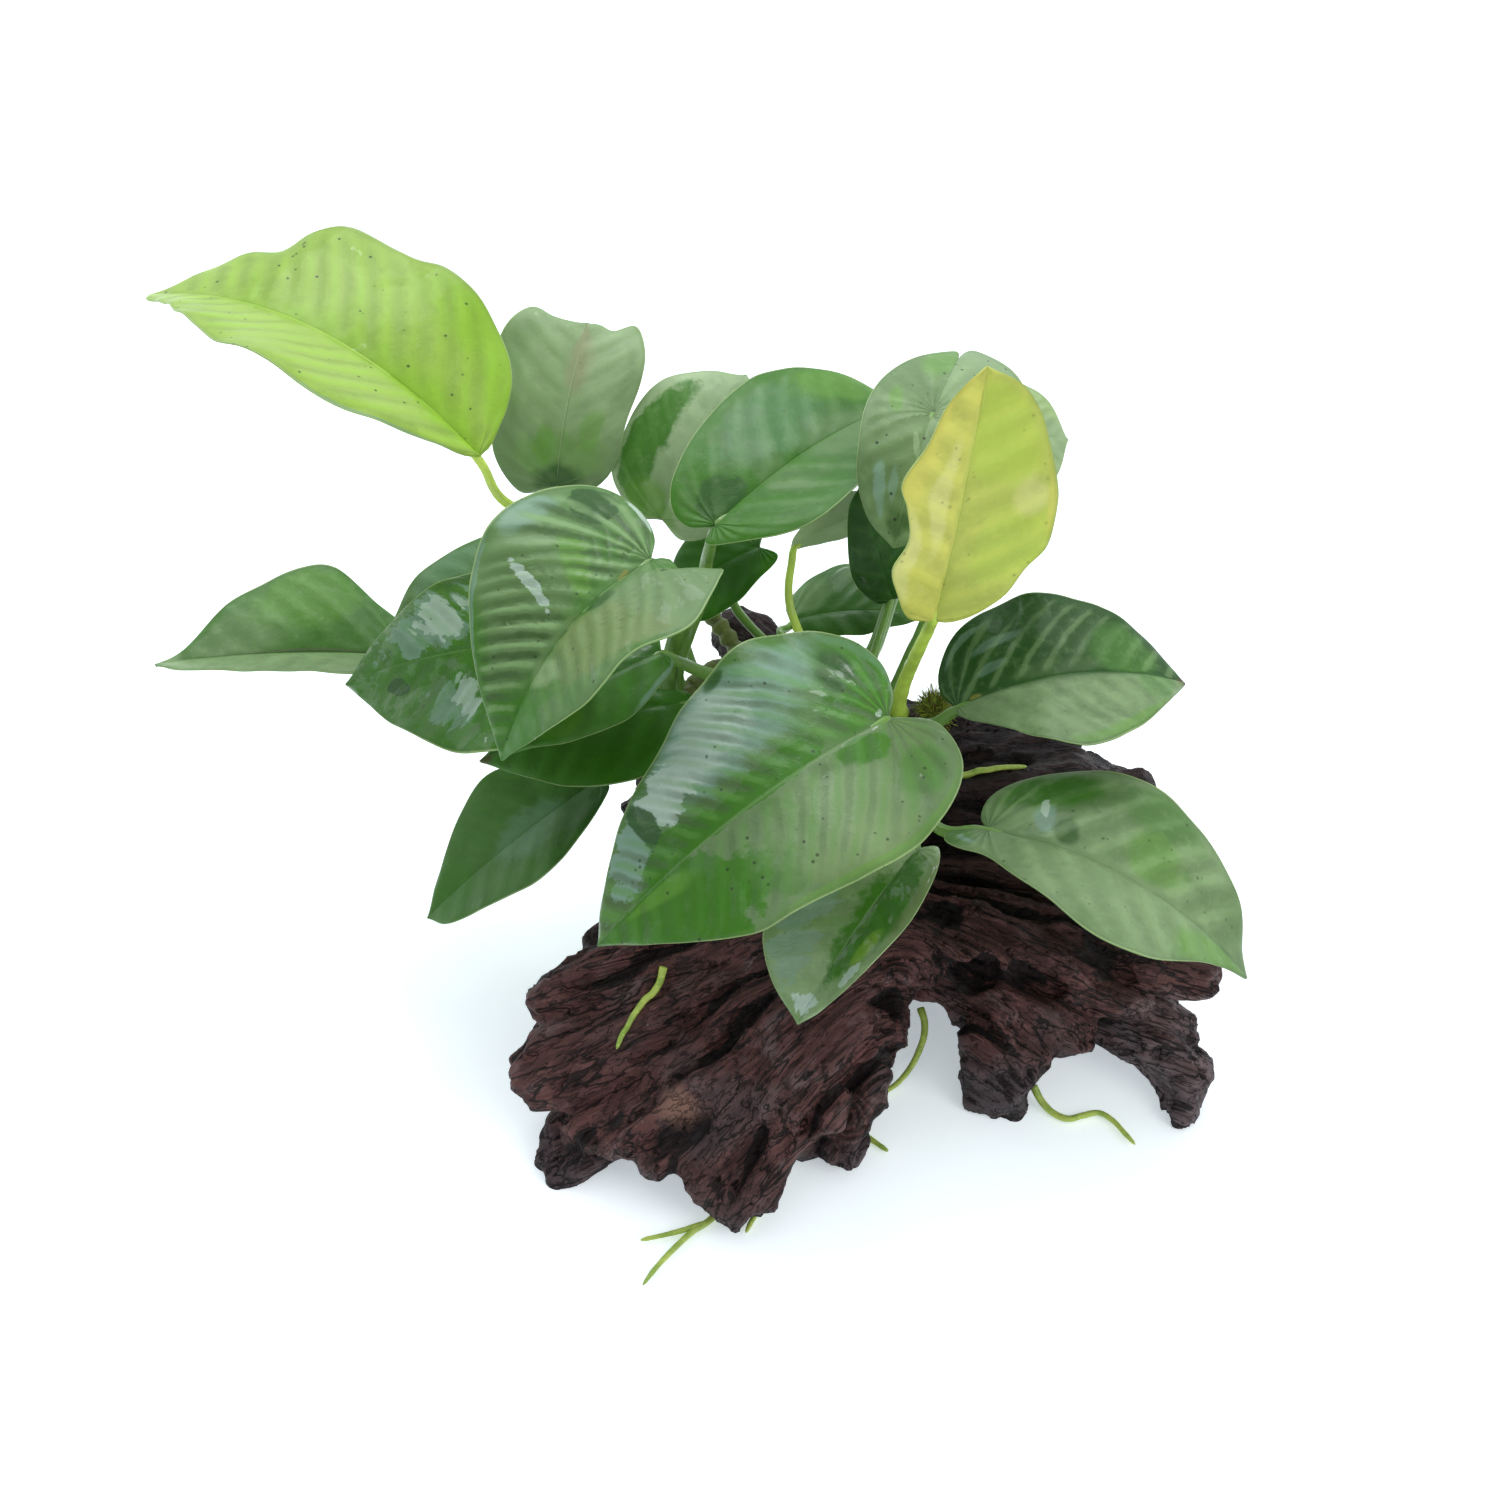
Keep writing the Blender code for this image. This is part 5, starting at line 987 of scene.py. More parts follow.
def stored(item, name):
    values = np.empty(len(item.data.vertices), np.float32)
    item.data.attributes[name].data.foreach_get("value", values)
    return values


def places_of(item):
    places = np.empty(len(item.data.vertices) * 3, np.float32)
    item.data.vertices.foreach_get("co", places)
    return places.reshape(-1, 3)


def normals_of(item):
    normals = np.empty(len(item.data.vertices) * 3, np.float32)
    item.data.vertex_normals.foreach_get("vector", normals)
    return normals.reshape(-1, 3)


def move_points(item, places):
    item.data.vertices.foreach_set("co", np.array(places, np.float32).ravel())
    item.data.update()


def path_through(points, count):
    """Points at even distances along a smooth curve through the given points."""
    knots = np.array(points, float)
    knots = np.vstack([2 * knots[0] - knots[1], knots, 2 * knots[-1] - knots[-2]])
    fine = []
    for a, b, c, d in zip(knots, knots[1:], knots[2:], knots[3:]):
        for t in np.linspace(0, 1, CURVE_POINTS, endpoint=False):
            fine.append(0.5 * (2 * b + (c - a) * t + (2 * a - 5 * b + 4 * c - d) * t**2
                               + (3 * b - a - 3 * c + d) * t**3))
    fine.append(knots[-2])
    fine = np.array(fine)
    run = np.concatenate([[0], np.cumsum(np.linalg.norm(np.diff(fine, axis=0), axis=1))])
    places = np.linspace(0, run[-1], count)
    return np.stack([np.interp(places, run, fine[:, axis]) for axis in range(fine.shape[1])], axis=1)


def blade_axes(leaf):
    """The blade's length and its directions along, to the left and up."""
    base, tip = Vector(leaf["base"]), Vector(leaf["tip"])
    along = tip - base
    length = along.length
    along.normalize()
    face = Vector(leaf["face"])
    up = (face - along * face.dot(along)).normalized()
    return length, along, up.cross(along), up


def margins_of(leaf):
    length = blade_axes(leaf)[0]
    return [path_through([(0, 0)] + leaf[side] + [(length, 0)], MARGIN_SAMPLES) for side in ("left", "right")]


def blade_point(leaf, axes, margins, across, run):
    """A point of the blade: across from -1 to 1, and run from the base, 0, to the tip, 1."""
    length, along, left, up = axes
    margin = margins[0] if across > 0 else margins[1]
    place = run * (len(margin) - 1)
    low = min(int(place), len(margin) - 2)
    edge = margin[low] + (margin[low + 1] - margin[low]) * (place - low)
    out = abs(across)
    rib = length * run**VEIN_LEAD
    a = rib + (edge[0] - rib) * out
    a -= VEIN_BOW * edge[1] * 4 * out * (1 - out) * 4 * run * (1 - run)
    w = edge[1] * out
    side = 0 if across > 0 else 1
    part = a / length
    height, count, start = leaf["wave"]
    lift = 4 * leaf["arch"] * part * (1 - part) - leaf["fold"][side] * w
    lift += height * math.sin(2 * math.pi * (count * part + start + 0.35 * side)) * (w / WAVE_REACH) ** 2
    return Vector(leaf["base"]) + along * a + left * math.copysign(w, across) + up * lift


def vein_number(along, out, length, veins):
    """Which side vein a point lies on. They lean towards the tip, and fan out behind the base."""
    lean = VEIN_LEAN + VEIN_CURVE * out / length
    ahead = along - lean * out
    if ahead >= 0:
        return veins * ahead / length
    return FAN_VEINS * (math.atan2(1, lean) - math.atan2(out, along))


def make_blade(name, leaf, settings):
    """A leaf's blade, with bulges between its veins, a midrib below and thin rippled margins."""
    axes = blade_axes(leaf)
    length, along, left, up = axes
    margins = margins_of(leaf)
    veins = LOOKS[name]["veins"]
    strength = LOOKS[name]["relief"] * settings.relief / MM
    bands = LOOKS[name]["bands"]
    calm = [math.sqrt(share / max(*bands, 0.01)) for share in bands]
    ripple = settings.ripple / MM
    seed = Vector(leaf["base"])
    deselect()
    bpy.ops.mesh.primitive_grid_add(x_subdivisions=BLADE_COLUMNS, y_subdivisions=BLADE_ROWS, size=2,
                                    calc_uvs=True)
    blade = bpy.context.active_object
    blade.name = blade.data.name = "blade_" + name
    reach, runs, numbers = [], [], []
    for vertex in blade.data.vertices:
        side, run = vertex.co.x, (vertex.co.y + 1) / 2
        out = 0.45 * abs(side) + 0.275 * (1 - math.cos(math.pi * abs(side)))
        across = math.copysign(out, -side)
        place = blade_point(leaf, axes, margins, across, run)
        wide = abs((place - seed).dot(left))
        number = vein_number((place - seed).dot(along), wide, length, veins) + (0.5 if side > 0 else 0)
        phase = number + 0.15 * noise.noise(place / 7)
        bulge = abs(math.sin(math.pi * phase)) ** 0.75
        envelope = min(1, wide / 4) * (1 - out**4) * min(1, 5 * run) * min(1, 4 * (1 - run))
        lift = strength * (bulge - 0.6) * envelope * (1 + 0.5 * noise.noise(place / 9))
        lift *= calm[0] if side > 0 else calm[1]
        lift -= GROOVE[0] * math.exp(-(wide / GROOVE[1]) ** 2) * (1 - run)
        lift += ripple * out**3 * noise.noise(seed + Vector((run * veins * 1.3, 3.1 if side > 0 else 0, 0)))
        lift += WAVER[0] * noise.noise(place / WAVER[1]) * min(1, wide / 5)
        lift -= MARGIN_DROP * out**8
        vertex.co = (place + up * lift) * MM
        reach.append(wide)
        runs.append(run)
        numbers.append(number)
    store(blade, "vein", numbers)
    store(blade, "reach", reach)
    store(blade, "run", runs)
    group = blade.vertex_groups.new(name="thickness")
    sides = np.tile(np.linspace(-1, 1, BLADE_COLUMNS + 1), BLADE_ROWS + 1)
    for vertex, side in zip(blade.data.vertices, sides):
        group.add([vertex.index], 1 - (1 - settings.edge) * abs(side) ** 3, "REPLACE")
    edit_all(blade, bpy.ops.mesh.remove_doubles, threshold=WELD)
    if sum((f.normal * f.area for f in blade.data.polygons), Vector()).dot(up) < 0:
        edit_all(blade, bpy.ops.mesh.flip_normals)
    apply_modifier(blade, "SOLIDIFY", thickness=settings.thickness, offset=0, vertex_group="thickness")
    places, normals = places_of(blade), normals_of(blade)
    reach, runs = stored(blade, "reach"), stored(blade, "run")
    under = normals @ np.array(up) < 0
    rib = settings.rib * np.exp(-(reach / RIB_WIDTH) ** 2) * (1 - runs) ** 0.6 * np.minimum(1, runs * 30)
    places[under] -= np.array(up)[None, :] * rib[under][:, None]
    move_points(blade, places)
    store(blade, "under", under.astype(float))
    choose(blade)
    bpy.ops.object.shade_smooth_by_angle(angle=math.radians(SMOOTH_ANGLE))
    wear(blade, blade_look(name, settings))
    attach(blade, "root")
    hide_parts("leaf_" + name)


def make_tube(name, points, radii, sides=5):
    """A round closed tube through points in millimetres, as a mesh, with its share of the way kept."""
    deselect()
    data = bpy.data.curves.new(name, "CURVE")
    data.dimensions = "3D"
    data.bevel_depth = MM
    data.bevel_resolution = sides
    data.use_fill_caps = True
    spline = data.splines.new("POLY")
    spline.points.add(len(points) - 1)
    for knot, place, radius in zip(spline.points, points, radii):
        knot.co = (*(Vector(place) * MM), 1)
        knot.radius = radius
    tube = bpy.data.objects.new(name, data)
    bpy.context.scene.collection.objects.link(tube)
    choose(tube)
    bpy.ops.object.convert(target="MESH")
    tube = bpy.context.active_object
    tube.name = tube.data.name = name
    edit_all(tube, bpy.ops.mesh.remove_doubles, threshold=WELD)
    path = np.array([tuple(p) for p in points]) * MM
    nearest = np.argmin(((places_of(tube)[:, None] - path[None]) ** 2).sum(2), axis=1)
    store(tube, "along", nearest / (len(points) - 1))
    return tube


def rhizome_place(part, angle):
    """A point on the rhizome's axis and the direction there, turned from up by the angle."""
    points = path_through(RHIZOME_PATH, RHIZOME_PLACES + 1)
    spot = part * RHIZOME_PLACES
    low = min(int(spot), RHIZOME_PLACES - 1)
    centre = points[low] + (points[low + 1] - points[low]) * (spot - low)
    run = Vector(points[low + 1] - points[low]).normalized()
    side = Vector((0, 0, 1)).cross(run).normalized()
    up = run.cross(side)
    turn = math.radians(angle)
    return Vector(centre), up * math.cos(turn) + side * math.sin(turn)


def make_stem(name, leaf, settings, materials):
    """A leaf's stem, grown out of the rhizome and into the midrib."""
    axes = blade_axes(leaf)
    up = axes[3]
    margins = margins_of(leaf)
    centre, out = rhizome_place(*leaf["foot"])
    start = centre + out * RHIZOME_RADIUS
    base = Vector(leaf["base"])
    bends = [Vector(place) for place in leaf["stem"]]
    arrive = (base - (bends or [start])[-1]).normalized()
    below = [blade_point(leaf, axes, margins, 0, run) - up * drop
             for run, drop in ((0.03, 1.15), (0.09, 0.95), (0.20, 0.65))]
    knots = [centre + out * (RHIZOME_RADIUS - 2), start + out * 1.5, *bends,
             base - arrive * 3.0 - up * 0.9, *below]
    points = path_through(knots, STEM_POINTS)
    run = np.concatenate([[0], np.cumsum(np.linalg.norm(np.diff(points, axis=0), axis=1))])
    joint = run[np.argmin(np.linalg.norm(points - np.array(below[0]), axis=1))]
    way = run / joint
    taper = np.interp(way, [0, 1, 1.0001], [1.15, 0.80, 0.80])
    radius = settings.radius / MM * STOUTNESS.get(name, 1) * taper
    radius *= 1 + settings.flare * np.exp(-run / 3.0)
    radius = np.where(way > 1, radius * (1 - 0.72 * (run - joint) / max(run[-1] - joint, 0.1)), radius)
    stem = make_tube("stalk_" + name, [Vector(p) for p in points], radius)
    places, normals = places_of(stem), normals_of(stem)
    lumps = np.array([noise.noise(Vector(p) / MM / 3.5) for p in places]) * 0.00012
    move_points(stem, places + normals * lumps[:, None])
    stem.data.shade_smooth()
    lime = leaf["finish"] in ("leaf_yellow", "leaf_light")
    wear(stem, materials[lime])
    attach(stem, "root")
    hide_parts("stem_" + name)


def make_rhizome(settings):
    """The creeping stem with its rings, and the stub of an old stem."""
    points = path_through(RHIZOME_PATH, RHIZOME_POINTS)
    run = np.linspace(0, 1, RHIZOME_POINTS)
    swell = 1 + 0.07 * np.sin(run * 41) + 0.03 * np.sin(run * 97)
    swell *= np.minimum(1, 0.45 + 9 * run) * np.minimum(1, 0.45 + 9 * (1 - run))
    main = make_tube("rhizome_stem", points, RHIZOME_RADIUS * swell, sides=6)
    stub_points = path_through(OLD_STEM_PATH, OLD_STEM_POINTS)
    stub_run = np.linspace(0, 1, OLD_STEM_POINTS)
    stub = make_tube("old_stem", stub_points, OLD_STEM_RADIUS * (1 + 0.10 * np.sin(stub_run * 34)))
    choose(main)
    stub.select_set(True)
    bpy.ops.object.join()
    apply_modifier(main, "REMESH", mode="VOXEL", voxel_size=settings.voxel)
    places, normals = places_of(main), normals_of(main)
    path = np.vstack([points, stub_points]) * MM
    marks = np.concatenate([run * 78, 100 + stub_run * 22])
    nearest = np.argmin(((places[:, None] - path[None]) ** 2).sum(2), axis=1)
    worn = np.empty(len(places))
    for i, (place, mark) in enumerate(zip(places, marks[nearest])):
        spot = Vector(place) / MM
        ring = abs(math.sin(mark * 0.82 + 1.3 * noise.noise(spot / 6)))
        rough = noise.noise(spot / 1.3)
        worn[i] = 0.25 + 0.75 * ring**0.6 + 0.35 * rough
    shift = (worn - 0.75) * settings.wrinkle
    move_points(main, places + normals * shift[:, None])
    store(main, "worn", worn)
    main.data.shade_smooth()
    wear(main, rhizome_look(settings))
    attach(main, "root")
    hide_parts("rhizome")


def loft(shape, rings):
    """The faces between rings of points, closed at both ends."""
    sides = len(rings[0])
    for low, high in zip(rings, rings[1:]):
        for k in range(sides):
            n = (k + 1) % sides
            shape.faces.new((low[k], low[n], high[n], high[k]))
    shape.faces.new(list(reversed(rings[0])))
    shape.faces.new(rings[-1])


def limb_mesh(shape, sections):
    """A limb as a closed loft through its sections, in millimetres."""
    centres = [Vector(centre) for centre, width, height in sections]
    rings = []
    for i, (centre, width, height) in enumerate(sections):
        run = (centres[min(i + 1, len(centres) - 1)] - centres[max(i - 1, 0)]).normalized()
        side = run.cross(Vector((0, 0, 1))).normalized()
        up = side.cross(run)
        ring = []
        for k in range(LIMB_SIDES):
            turn = 2 * math.pi * k / LIMB_SIDES
            out, rise = (math.copysign(abs(v) ** LIMB_SQUARE, v) for v in (math.cos(turn), math.sin(turn)))
            ring.append(shape.verts.new(centres[i] + side * width * out + up * height * rise))
        rings.append(ring)
    loft(shape, rings)


def grain_place(place):
    """Across the grain, along it and up, for a place in millimetres. The grain arches over the
    crown and spreads out down both sides."""
    run = math.hypot(place.x - GRAIN_CENTRE[0], GRAIN_ROUND)
    across = GRAIN_FAN * math.atan2(GRAIN_CENTRE[1] - place.y, run + GRAIN_SPREAD)
    return Vector((across, GRAIN_RUN * (place.x - GRAIN_CENTRE[0]), place.z))


def sharp(value):
    """A crest where the noise crosses nought."""
    return 0.5 - 2.2 * abs(value)


def in_grain(across, along, high, size, shift=0):
    """A place in the grain, counted in sizes of what is worn there."""
    return Vector((across / size[0] + shift, along / size[1], high / size[2]))


def grain(place):
    """The height of the wood's broad grain: ridges, ledges and lumps."""
    across, along, high = grain_place(place)
    bend = GRAIN_BEND * noise.noise(place / BEND_SIZE)
    ridge = sharp(noise.noise(in_grain(across + bend, along, high, RIDGE_SIZE)))
    ledge = noise.cell(in_grain(across + 2 * bend, along + 3 * bend, high + bend, LEDGE_SIZE))
    lumps = noise.noise(place / LUMP_SIZE)
    return GRAIN_HEIGHT * (0.9 * ridge + 0.4 * ledge + 0.9 * lumps)


def hollowed(place):
    """How deep the holes and clefts are at a place."""
    depth = 0
    ragged = RAGGED * noise.noise(place / 3)
    for centre, half, deep in PITS:
        near = math.sqrt(sum(((p - c) / h) ** 2 for p, c, h in zip(place, centre, half))) + ragged
        depth = max(depth, deep * max(0, min(1, (1 - near) / 0.4)))
    return depth


def weathering(place, settings):
    """The height of the worn threads, splinters and chips at a place, and the depth of its clefts."""
    across, along, high = grain_place(place)
    bend = 2.2 * noise.noise(place / 13) + 0.7 * noise.noise(place / 4)
    ridge = sharp(noise.noise(in_grain(across + bend, along, high, WORN_RIDGE)))
    thread = sharp(noise.noise(in_grain(across + bend, along, high, WORN_THREAD, 5)))
    splinter = noise.cell(in_grain(across + bend, along + 4 * bend, high, WORN_SPLINTER))
    chips = noise.noise(place / CHIP)
    cleft = noise.noise(in_grain(across + bend, along, high, CLEFT, 31))
    depth = max(0.0, min(1.0, (cleft - 0.24) / 0.12))
    return (settings.ridges / MM) * (0.55 * ridge + 0.25 * thread + 0.22 * splinter + 0.25 * chips) \
        - (settings.clefts / MM) * depth


def splintered(place):
    """The finest relief: threads, broken splinters and narrow cracks, from -1 to about 1."""
    across, along, high = grain_place(place)
    bend = 1.4 * noise.noise(place / 9) + 0.6 * noise.noise(place / 3.1)
    thread = sharp(noise.noise(in_grain(across + bend, along, high, FINE_THREAD, 9)))
    splinter = noise.cell(in_grain(across + bend, along + 5 * bend, high, FINE_SPLINTER))
    crack = abs(noise.noise(in_grain(across + bend, along, high, FINE_CRACK, 17)))
    return 0.40 * thread + 0.40 * splinter - 1.4 * max(0.0, 1 - crack / 0.05)


def make_wood(settings):
    """The whole piece of driftwood with its weathered grain, before it is parted at its forks."""
    mesh = bpy.data.meshes.new("driftwood")
    shape = bmesh.new()
    for sections in LIMBS.values():
        limb_mesh(shape, sections)
    bmesh.ops.recalc_face_normals(shape, faces=shape.faces)
    bmesh.ops.scale(shape, vec=(MM, MM, MM), verts=shape.verts)
    shape.to_mesh(mesh)
    shape.free()
    wood = bpy.data.objects.new("driftwood", mesh)
    bpy.context.scene.collection.objects.link(wood)
    apply_modifier(wood, "REMESH", mode="VOXEL", voxel_size=settings.voxel * FIRST_VOXEL)
    apply_modifier(wood, "SMOOTH", factor=0.5, iterations=4)
    moved = places_of(wood)
    for i, (place, normal) in enumerate(zip(moved.copy(), normals_of(wood))):
        spot = Vector(place) / MM
        shift = grain(spot) + weathering(spot, settings) - hollowed(spot)
        moved[i] = place + normal * (shift * MM)
    move_points(wood, moved)
    apply_modifier(wood, "REMESH", mode="VOXEL", voxel_size=settings.voxel)
    moved = places_of(wood)
    for i, (place, normal) in enumerate(zip(moved.copy(), normals_of(wood))):
        moved[i] = place + normal * (splintered(Vector(place) / MM) * settings.splinters)
    move_points(wood, moved)
    return wood


def make_box(name, centre, turn, half):
    deselect()
    bpy.ops.mesh.primitive_cube_add(size=2, location=Vector(centre) * MM, rotation=(0, 0, math.radians(turn)))
    box = bpy.context.active_object
    box.name = name
    box.scale = Vector(half) * MM
    bpy.ops.object.transform_apply(location=True, rotation=True, scale=True)
    return box


def cut(item, operation, other):
    apply_modifier(item, "BOOLEAN", operation=operation, solver="MANIFOLD", object=other)


def keep_largest(item):
    """Drop the chips that a cut leaves beside the main piece."""
    shape = bmesh.new()
    shape.from_mesh(item.data)
    left = set(shape.verts)
    pieces = []
    while left:
        stack = [left.pop()]
        piece = set(stack)
        while stack:
            for edge in stack.pop().link_edges:
                for vertex in edge.verts:
                    if vertex not in piece:
                        piece.add(vertex)
                        left.discard(vertex)
                        stack.append(vertex)
        pieces.append(piece)
    pieces.sort(key=len)
    for piece in pieces[:-1]:
        bmesh.ops.delete(shape, geom=list(piece), context="VERTS")
    shape.to_mesh(item.data)
    shape.free()


def copy_of(item, name):
    made = item.copy()
    made.data = item.data.copy()
    made.name = made.data.name = name
    bpy.context.scene.collection.objects.link(made)
    return made


def finish_wood(item, node, material, settings):
    keep_largest(item)
    places = places_of(item)
    grains, worn = [], []
    for place in places:
        spot = Vector(place) / MM
        grains.append(grain_place(spot))
        worn.append(0.60 + grain(spot) / 9 + weathering(spot, settings) / 6 - hollowed(spot) / 8)
    store(item, "grain", grains, "FLOAT_VECTOR")
    store(item, "worn", worn)
    item.data.shade_smooth()
    wear(item, material)
    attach(item, "root")
    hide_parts(node)


def part_wood(wood, settings):
    """Cut the wood flat below and part it at its forks, with no gap."""
    material = wood_look(settings)
    ground = make_box("ground", (0, 0, -30), 0, (150, 150, 30))
    cut(wood, "DIFFERENCE", ground)
    bpy.data.objects.remove(ground)
    keep_largest(wood)
    body = copy_of(wood, "wood_trunk")
    before = []
    for name, place in FORKS.items():
        box = make_box("fork_" + name, *place)
        limb = copy_of(wood, "wood_" + name)
        cut(limb, "INTERSECT", box)
        for other in before:
            cut(limb, "DIFFERENCE", other)
        cut(body, "DIFFERENCE", box)
        before.append(box)
        finish_wood(limb, "driftwood_" + name, material, settings)
    finish_wood(body, "driftwood_trunk", material, settings)
    for box in before:
        bpy.data.objects.remove(box)


def off_the_wood(wood, place, radius):
    """The place, moved out so that a root of that radius lies on the wood or the ground."""
    place = Vector(place)
    for _ in range(PUSHES):
        near, normal = wood.closest_point_on_mesh(place * MM)[1:3]
        near = near / MM
        away = place - near
        inside = away.dot(normal) < 0
        if inside or away.length < radius * SUNK:
            place = near + normal * radius * SUNK
        place.z = max(place.z, radius)
    return place


def height_of(wood, x, y):
    hit, place = wood.ray_cast(Vector((x, y, ABOVE_ALL)) * MM, Vector((0, 0, -1)))[:2]
    if not hit:
        raise RuntimeError(f"no wood below {x}, {y}")
    return place.z / MM


def root_tube(wood, name, points, first, last, on_wood):
    """One root, laid on the wood or the ground, thinning to a rounded tip."""
    route = path_through(points, ROUTE_POINTS)
    radii = np.linspace(first, last, ROUTE_POINTS)
    for i, (place, radius) in enumerate(zip(route, radii)):
        if on_wood:
            place[2] = height_of(wood, place[0], place[1]) + radius * 0.5
        route[i] = off_the_wood(wood, place, radius)
    route = path_through(route, ROOT_POINTS)
    run = np.linspace(0, 1, ROOT_POINTS)
    radii = np.interp(run, [0, 0.9, 0.97, 1], [first, last * 1.05, last * 0.8, last * 0.25])
    radii = radii * (1 + 0.10 * np.array([noise.noise(Vector((r * 14, first * 9, len(name)))) for r in run]))
    return make_tube(name, route, radii, sides=4)


def make_roots(wood, settings):
    material = root_look(settings)
    thick = settings.radius / MM
    for name, points in {**ROOTS_ON_WOOD, **ROOTS_ON_GROUND}.items():
        root = root_tube(wood, name.replace("root", "rootlet"), points, thick, thick * 0.6,
                         name in ROOTS_ON_WOOD)
        if name == "root_front":
            branch = root_tube(wood, "branch", ROOT_BRANCH, thick * 0.8, thick * 0.5, False)
            choose(root)
            branch.select_set(True)
            bpy.ops.object.join()
        root.data.shade_smooth()
        wear(root, material)
        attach(root, "root")
        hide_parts(name)


def make_moss(settings):
    """The tuft of moss: a core under many short curved fibres."""
    deselect()
    bpy.ops.mesh.primitive_ico_sphere_add(subdivisions=4, radius=1)
    core = bpy.context.active_object
    core.name = core.data.name = "moss_fibres"
    for vertex in core.data.vertices:
        swell = 0.74 + 0.16 * noise.noise(vertex.co * 2.3) + 0.05 * noise.noise(vertex.co * 9)
        vertex.co = Vector([c + v * h * swell for c, v, h in zip(MOSS_CENTRE, vertex.co, MOSS_HALF)]) * MM
    shape = bmesh.new()
    shape.from_mesh(core.data)
    tone = shape.verts.layers.float.new("tone")
    for vertex in shape.verts:
        vertex[tone] = 0.1
    chance = np.random.default_rng(MOSS_SEED)
    for _ in range(settings.fibres):
        out = Vector(chance.normal(size=3)).normalized()
        if out.z < -0.4:
            out.z = -out.z
        lean = Vector(chance.normal(size=3)) * 0.8
        value = chance.random()
        reach = FIBRE_TIP + FIBRE_VARIES * (chance.random() - 0.5)
        rings = []
        for k in range(FIBRE_STEPS + 1):
            t = k / FIBRE_STEPS
            way = out * (FIBRE_ROOT + (reach - FIBRE_ROOT) * t) + lean * 0.24 * t * t
            way *= min(1, 1.04 * reach / max(way.length, 0.01))
            spot = Vector([c + v * h for c, v, h in zip(MOSS_CENTRE, way, MOSS_HALF)]) * MM
            width = settings.radius * (1.15 - 0.85 * t)
            side = out.orthogonal().normalized()
            other = out.cross(side)
            ring = []
            for turn in FIBRE_SIDES:
                vertex = shape.verts.new(spot + (side * math.cos(turn) + other * math.sin(turn)) * width)
                vertex[tone] = value
                ring.append(vertex)
            rings.append(ring)
        loft(shape, rings)
    shape.to_mesh(core.data)
    shape.free()
    core.data.shade_smooth()
    wear(core, moss_look(settings))
    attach(core, "root")
    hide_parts("moss_tuft")


# Operators

class ANUBIAS_OT_blades(bpy.types.Operator):
    """Build the leaf blades"""
    bl_idname = "anubias.blades"
    bl_label = "Leaf blades"

    def execute(self, context):
        for name, leaf in LEAVES.items():
            make_blade(name, leaf, context.scene.anubias.blade)
        return {"FINISHED"}


class ANUBIAS_OT_stems(bpy.types.Operator):
    """Build the stems that carry the blades"""
    bl_idname = "anubias.stems"
    bl_label = "Leaf stems"

    def execute(self, context):
        settings = context.scene.anubias.stem
        foot = scaled(settings.green, 0.45)
        materials = [stem_look("stem_green", settings.green, foot),
                     stem_look("stem_lime", settings.lime, scaled(settings.lime, 0.9))]
        for name, leaf in LEAVES.items():
            make_stem(name, leaf, settings, materials)
        return {"FINISHED"}


class ANUBIAS_OT_rhizome(bpy.types.Operator):
    """Build the creeping stem with the stub of an old one"""
    bl_idname = "anubias.rhizome"
    bl_label = "Rhizome"

    def execute(self, context):
        make_rhizome(context.scene.anubias.rhizome)
        return {"FINISHED"}


class ANUBIAS_OT_driftwood(bpy.types.Operator):
    """Build the driftwood and the roots that lie on it and beside it"""
    bl_idname = "anubias.driftwood"
    bl_label = "Driftwood and roots"

    def execute(self, context):
        settings = context.scene.anubias
        wood = make_wood(settings.wood)
        part_wood(wood, settings.wood)
        make_roots(wood, settings.root)
        bpy.data.objects.remove(wood)
        return {"FINISHED"}


class ANUBIAS_OT_moss(bpy.types.Operator):
    """Build the tuft of moss"""
    bl_idname = "anubias.moss"
    bl_label = "Moss"

    def execute(self, context):
        make_moss(context.scene.anubias.moss)
        return {"FINISHED"}


def turned_to(place, target):
    """How a lamp or a camera at a place is turned to look at a target."""
    return (Vector(place) - Vector(target)).to_track_quat("Z", "Y").to_euler()


def add_light(name, power, place, target, size, tint):
    deselect()
    bpy.ops.object.light_add(type="AREA", location=place)
    lamp = bpy.context.active_object
    lamp.name = name
    lamp.rotation_euler = turned_to(place, target)
    lamp.data.shape = "RECTANGLE"
    lamp.data.size, lamp.data.size_y = size
    lamp.data.energy = power
    lamp.data.color = tint


def sky_light(tree, settings):
    """Light from all around, brightest behind the plant and dim from the viewer's side."""
    turn = tree.nodes.new("ShaderNodeTexCoord")
    split = tree.nodes.new("ShaderNodeSeparateXYZ")
    ramp = tree.nodes.new("ShaderNodeMapRange")
    back = tree.nodes["Background"]
    tree.links.new(turn.outputs["Generated"], split.inputs[0])
    tree.links.new(split.outputs["Y"], ramp.inputs["Value"])
    ramp.interpolation_type = "SMOOTHSTEP"
    ramp.inputs["From Min"].default_value, ramp.inputs["From Max"].default_value = SKY_RISE
    ramp.inputs["To Min"].default_value = settings.room_strength
    ramp.inputs["To Max"].default_value = settings.sky_strength
    tree.links.new(ramp.outputs["Result"], back.inputs["Strength"])
    back.inputs["Color"].default_value = (*settings.sky, 1)


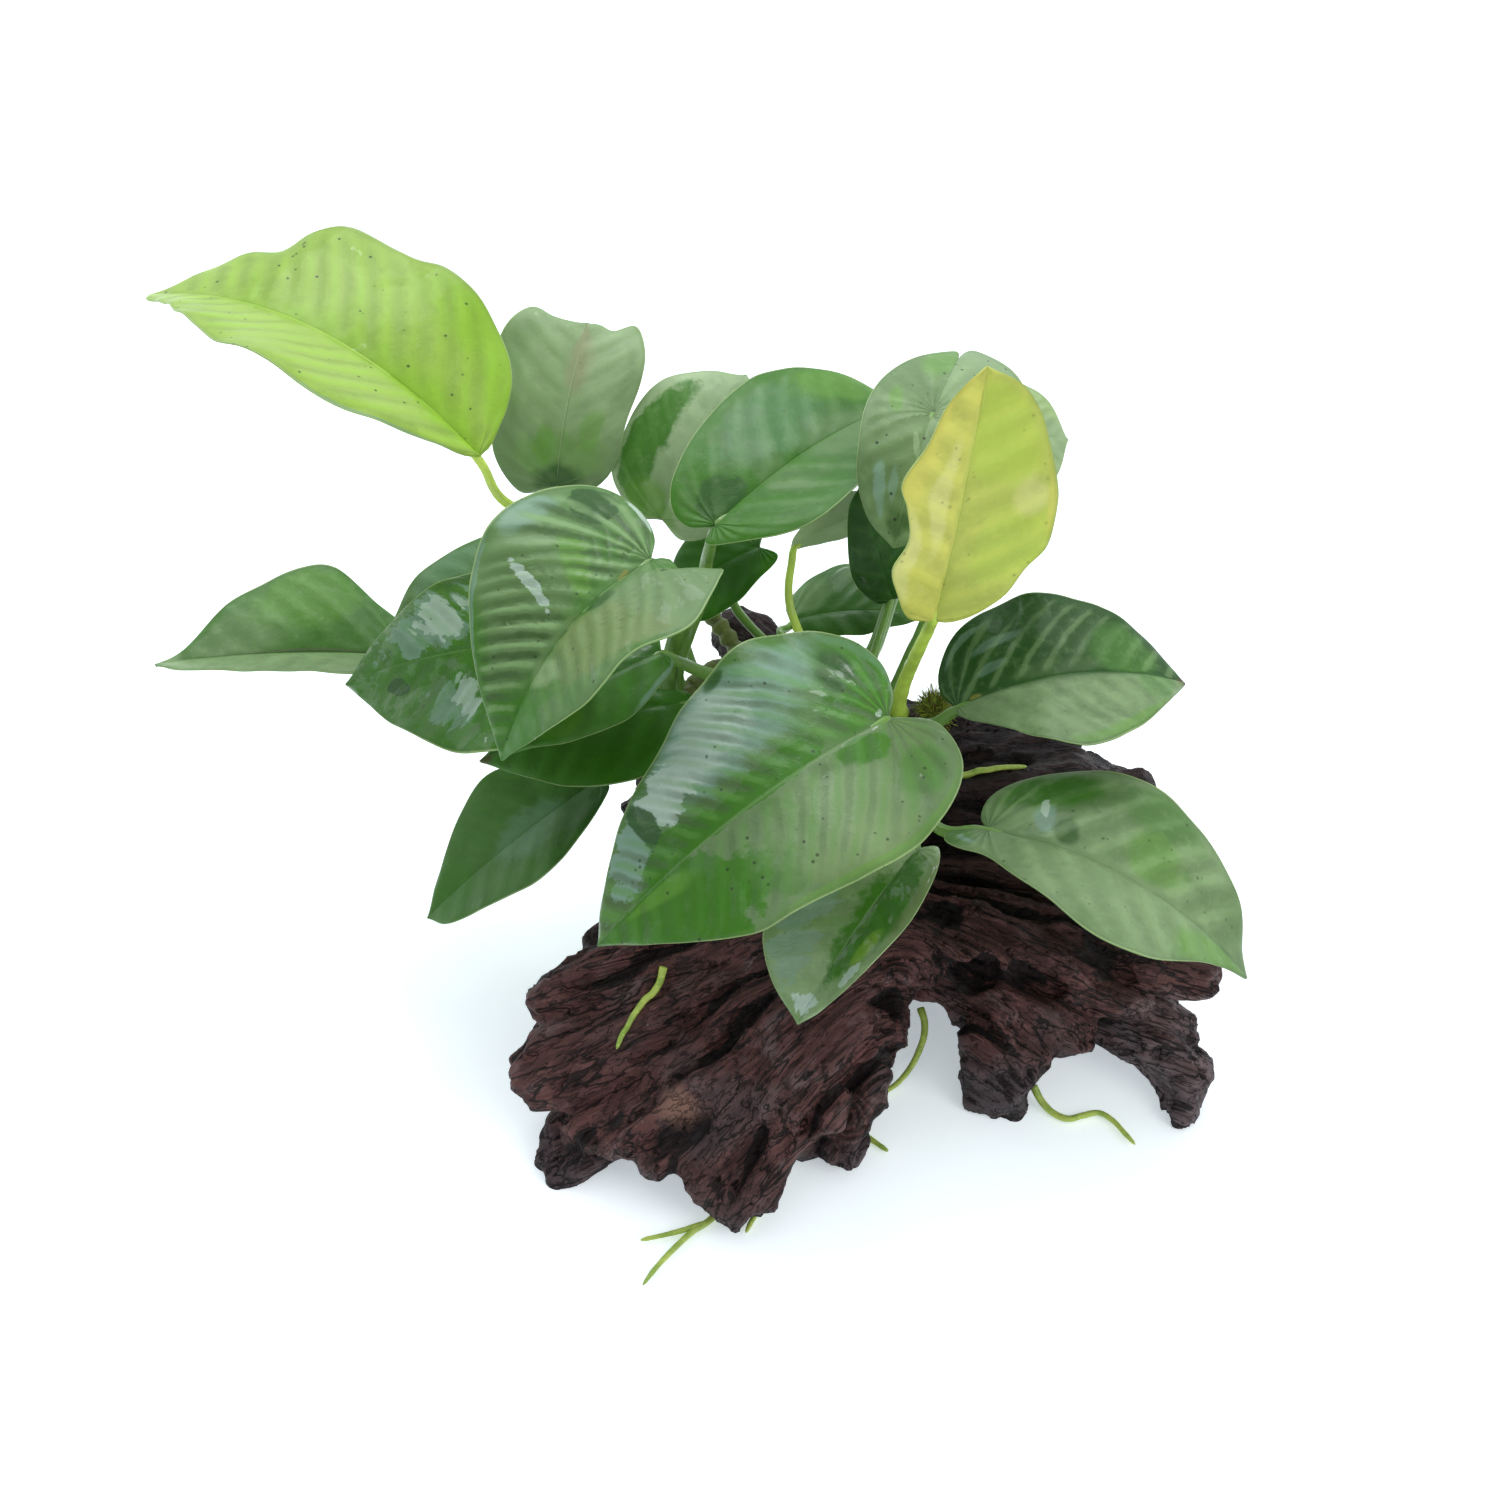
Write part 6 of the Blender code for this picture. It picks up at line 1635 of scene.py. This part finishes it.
class ANUBIAS_OT_stage(bpy.types.Operator):
    """Set the pale floor, the soft lights and the camera"""
    bl_idname = "anubias.stage"
    bl_label = "Stage"

    def execute(self, context):
        scene = context.scene
        settings = scene.anubias.stage
        deselect()
        bpy.ops.mesh.primitive_plane_add(size=FLOOR_SIZE)
        floor = context.active_object
        floor.name = floor.data.name = "floor"
        look = Look("floor")
        cloud = look.cloud(look.place(), 3, 2)
        tone = look.mix(cloud * 0.1, settings.floor, scaled(settings.floor, 0.97))
        wear(floor, look.finish(Base_Color=tone, Roughness=0.9, Specular_IOR_Level=0.1,
                                Emission_Color=FLOOR_LIGHT, Emission_Strength=settings.glow))
        world = bpy.data.worlds.new("sky")
        scene.world = world
        world.use_nodes = True
        sky_light(world.node_tree, settings)
        add_light("window", settings.window, *WINDOW)
        add_light("fill", settings.fill, *FILL)
        bpy.ops.object.camera_add(location=CAMERA_PLACE)
        camera = context.active_object
        camera.rotation_euler = turned_to(CAMERA_PLACE, CAMERA_TARGET)
        camera.data.lens = CAMERA_LENS
        scene.camera = camera
        scene.view_settings.view_transform = "Standard"
        return {"FINISHED"}


class ANUBIAS_PT_panel(bpy.types.Panel):
    """The pieces and their settings"""
    bl_idname = "ANUBIAS_PT_panel"
    bl_label = "Anubias on driftwood"
    bl_space_type = "VIEW_3D"
    bl_region_type = "UI"
    bl_category = "Anubias"

    def draw(self, context):
        for operator in OPERATORS:
            self.layout.operator(operator.bl_idname)
        for group in ("blade", "stem", "rhizome", "root", "moss", "wood", "stage"):
            box = self.layout.box()
            box.label(text=group.capitalize())
            settings = getattr(context.scene.anubias, group)
            for name in settings.__annotations__:
                box.prop(settings, name)


OPERATORS = (ANUBIAS_OT_stage, ANUBIAS_OT_driftwood, ANUBIAS_OT_rhizome, ANUBIAS_OT_moss, ANUBIAS_OT_stems,
             ANUBIAS_OT_blades)
CLASSES = (AnubiasBladeSettings, AnubiasStemSettings, AnubiasRhizomeSettings, AnubiasRootSettings,
           AnubiasMossSettings, AnubiasWoodSettings, AnubiasStageSettings, AnubiasSettings, *OPERATORS,
           ANUBIAS_PT_panel)


def register():
    for kind in CLASSES:
        bpy.utils.register_class(kind)
    bpy.types.Scene.anubias = PointerProperty(type=AnubiasSettings)


def unregister():
    del bpy.types.Scene.anubias
    for kind in reversed(CLASSES):
        bpy.utils.unregister_class(kind)


def main():
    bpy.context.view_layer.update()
    register()
    bpy.ops.anubias.stage()
    bpy.ops.anubias.driftwood()
    bpy.ops.anubias.rhizome()
    bpy.ops.anubias.moss()
    bpy.ops.anubias.stems()
    bpy.ops.anubias.blades()
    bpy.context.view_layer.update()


if __name__ == "__main__":
    main()
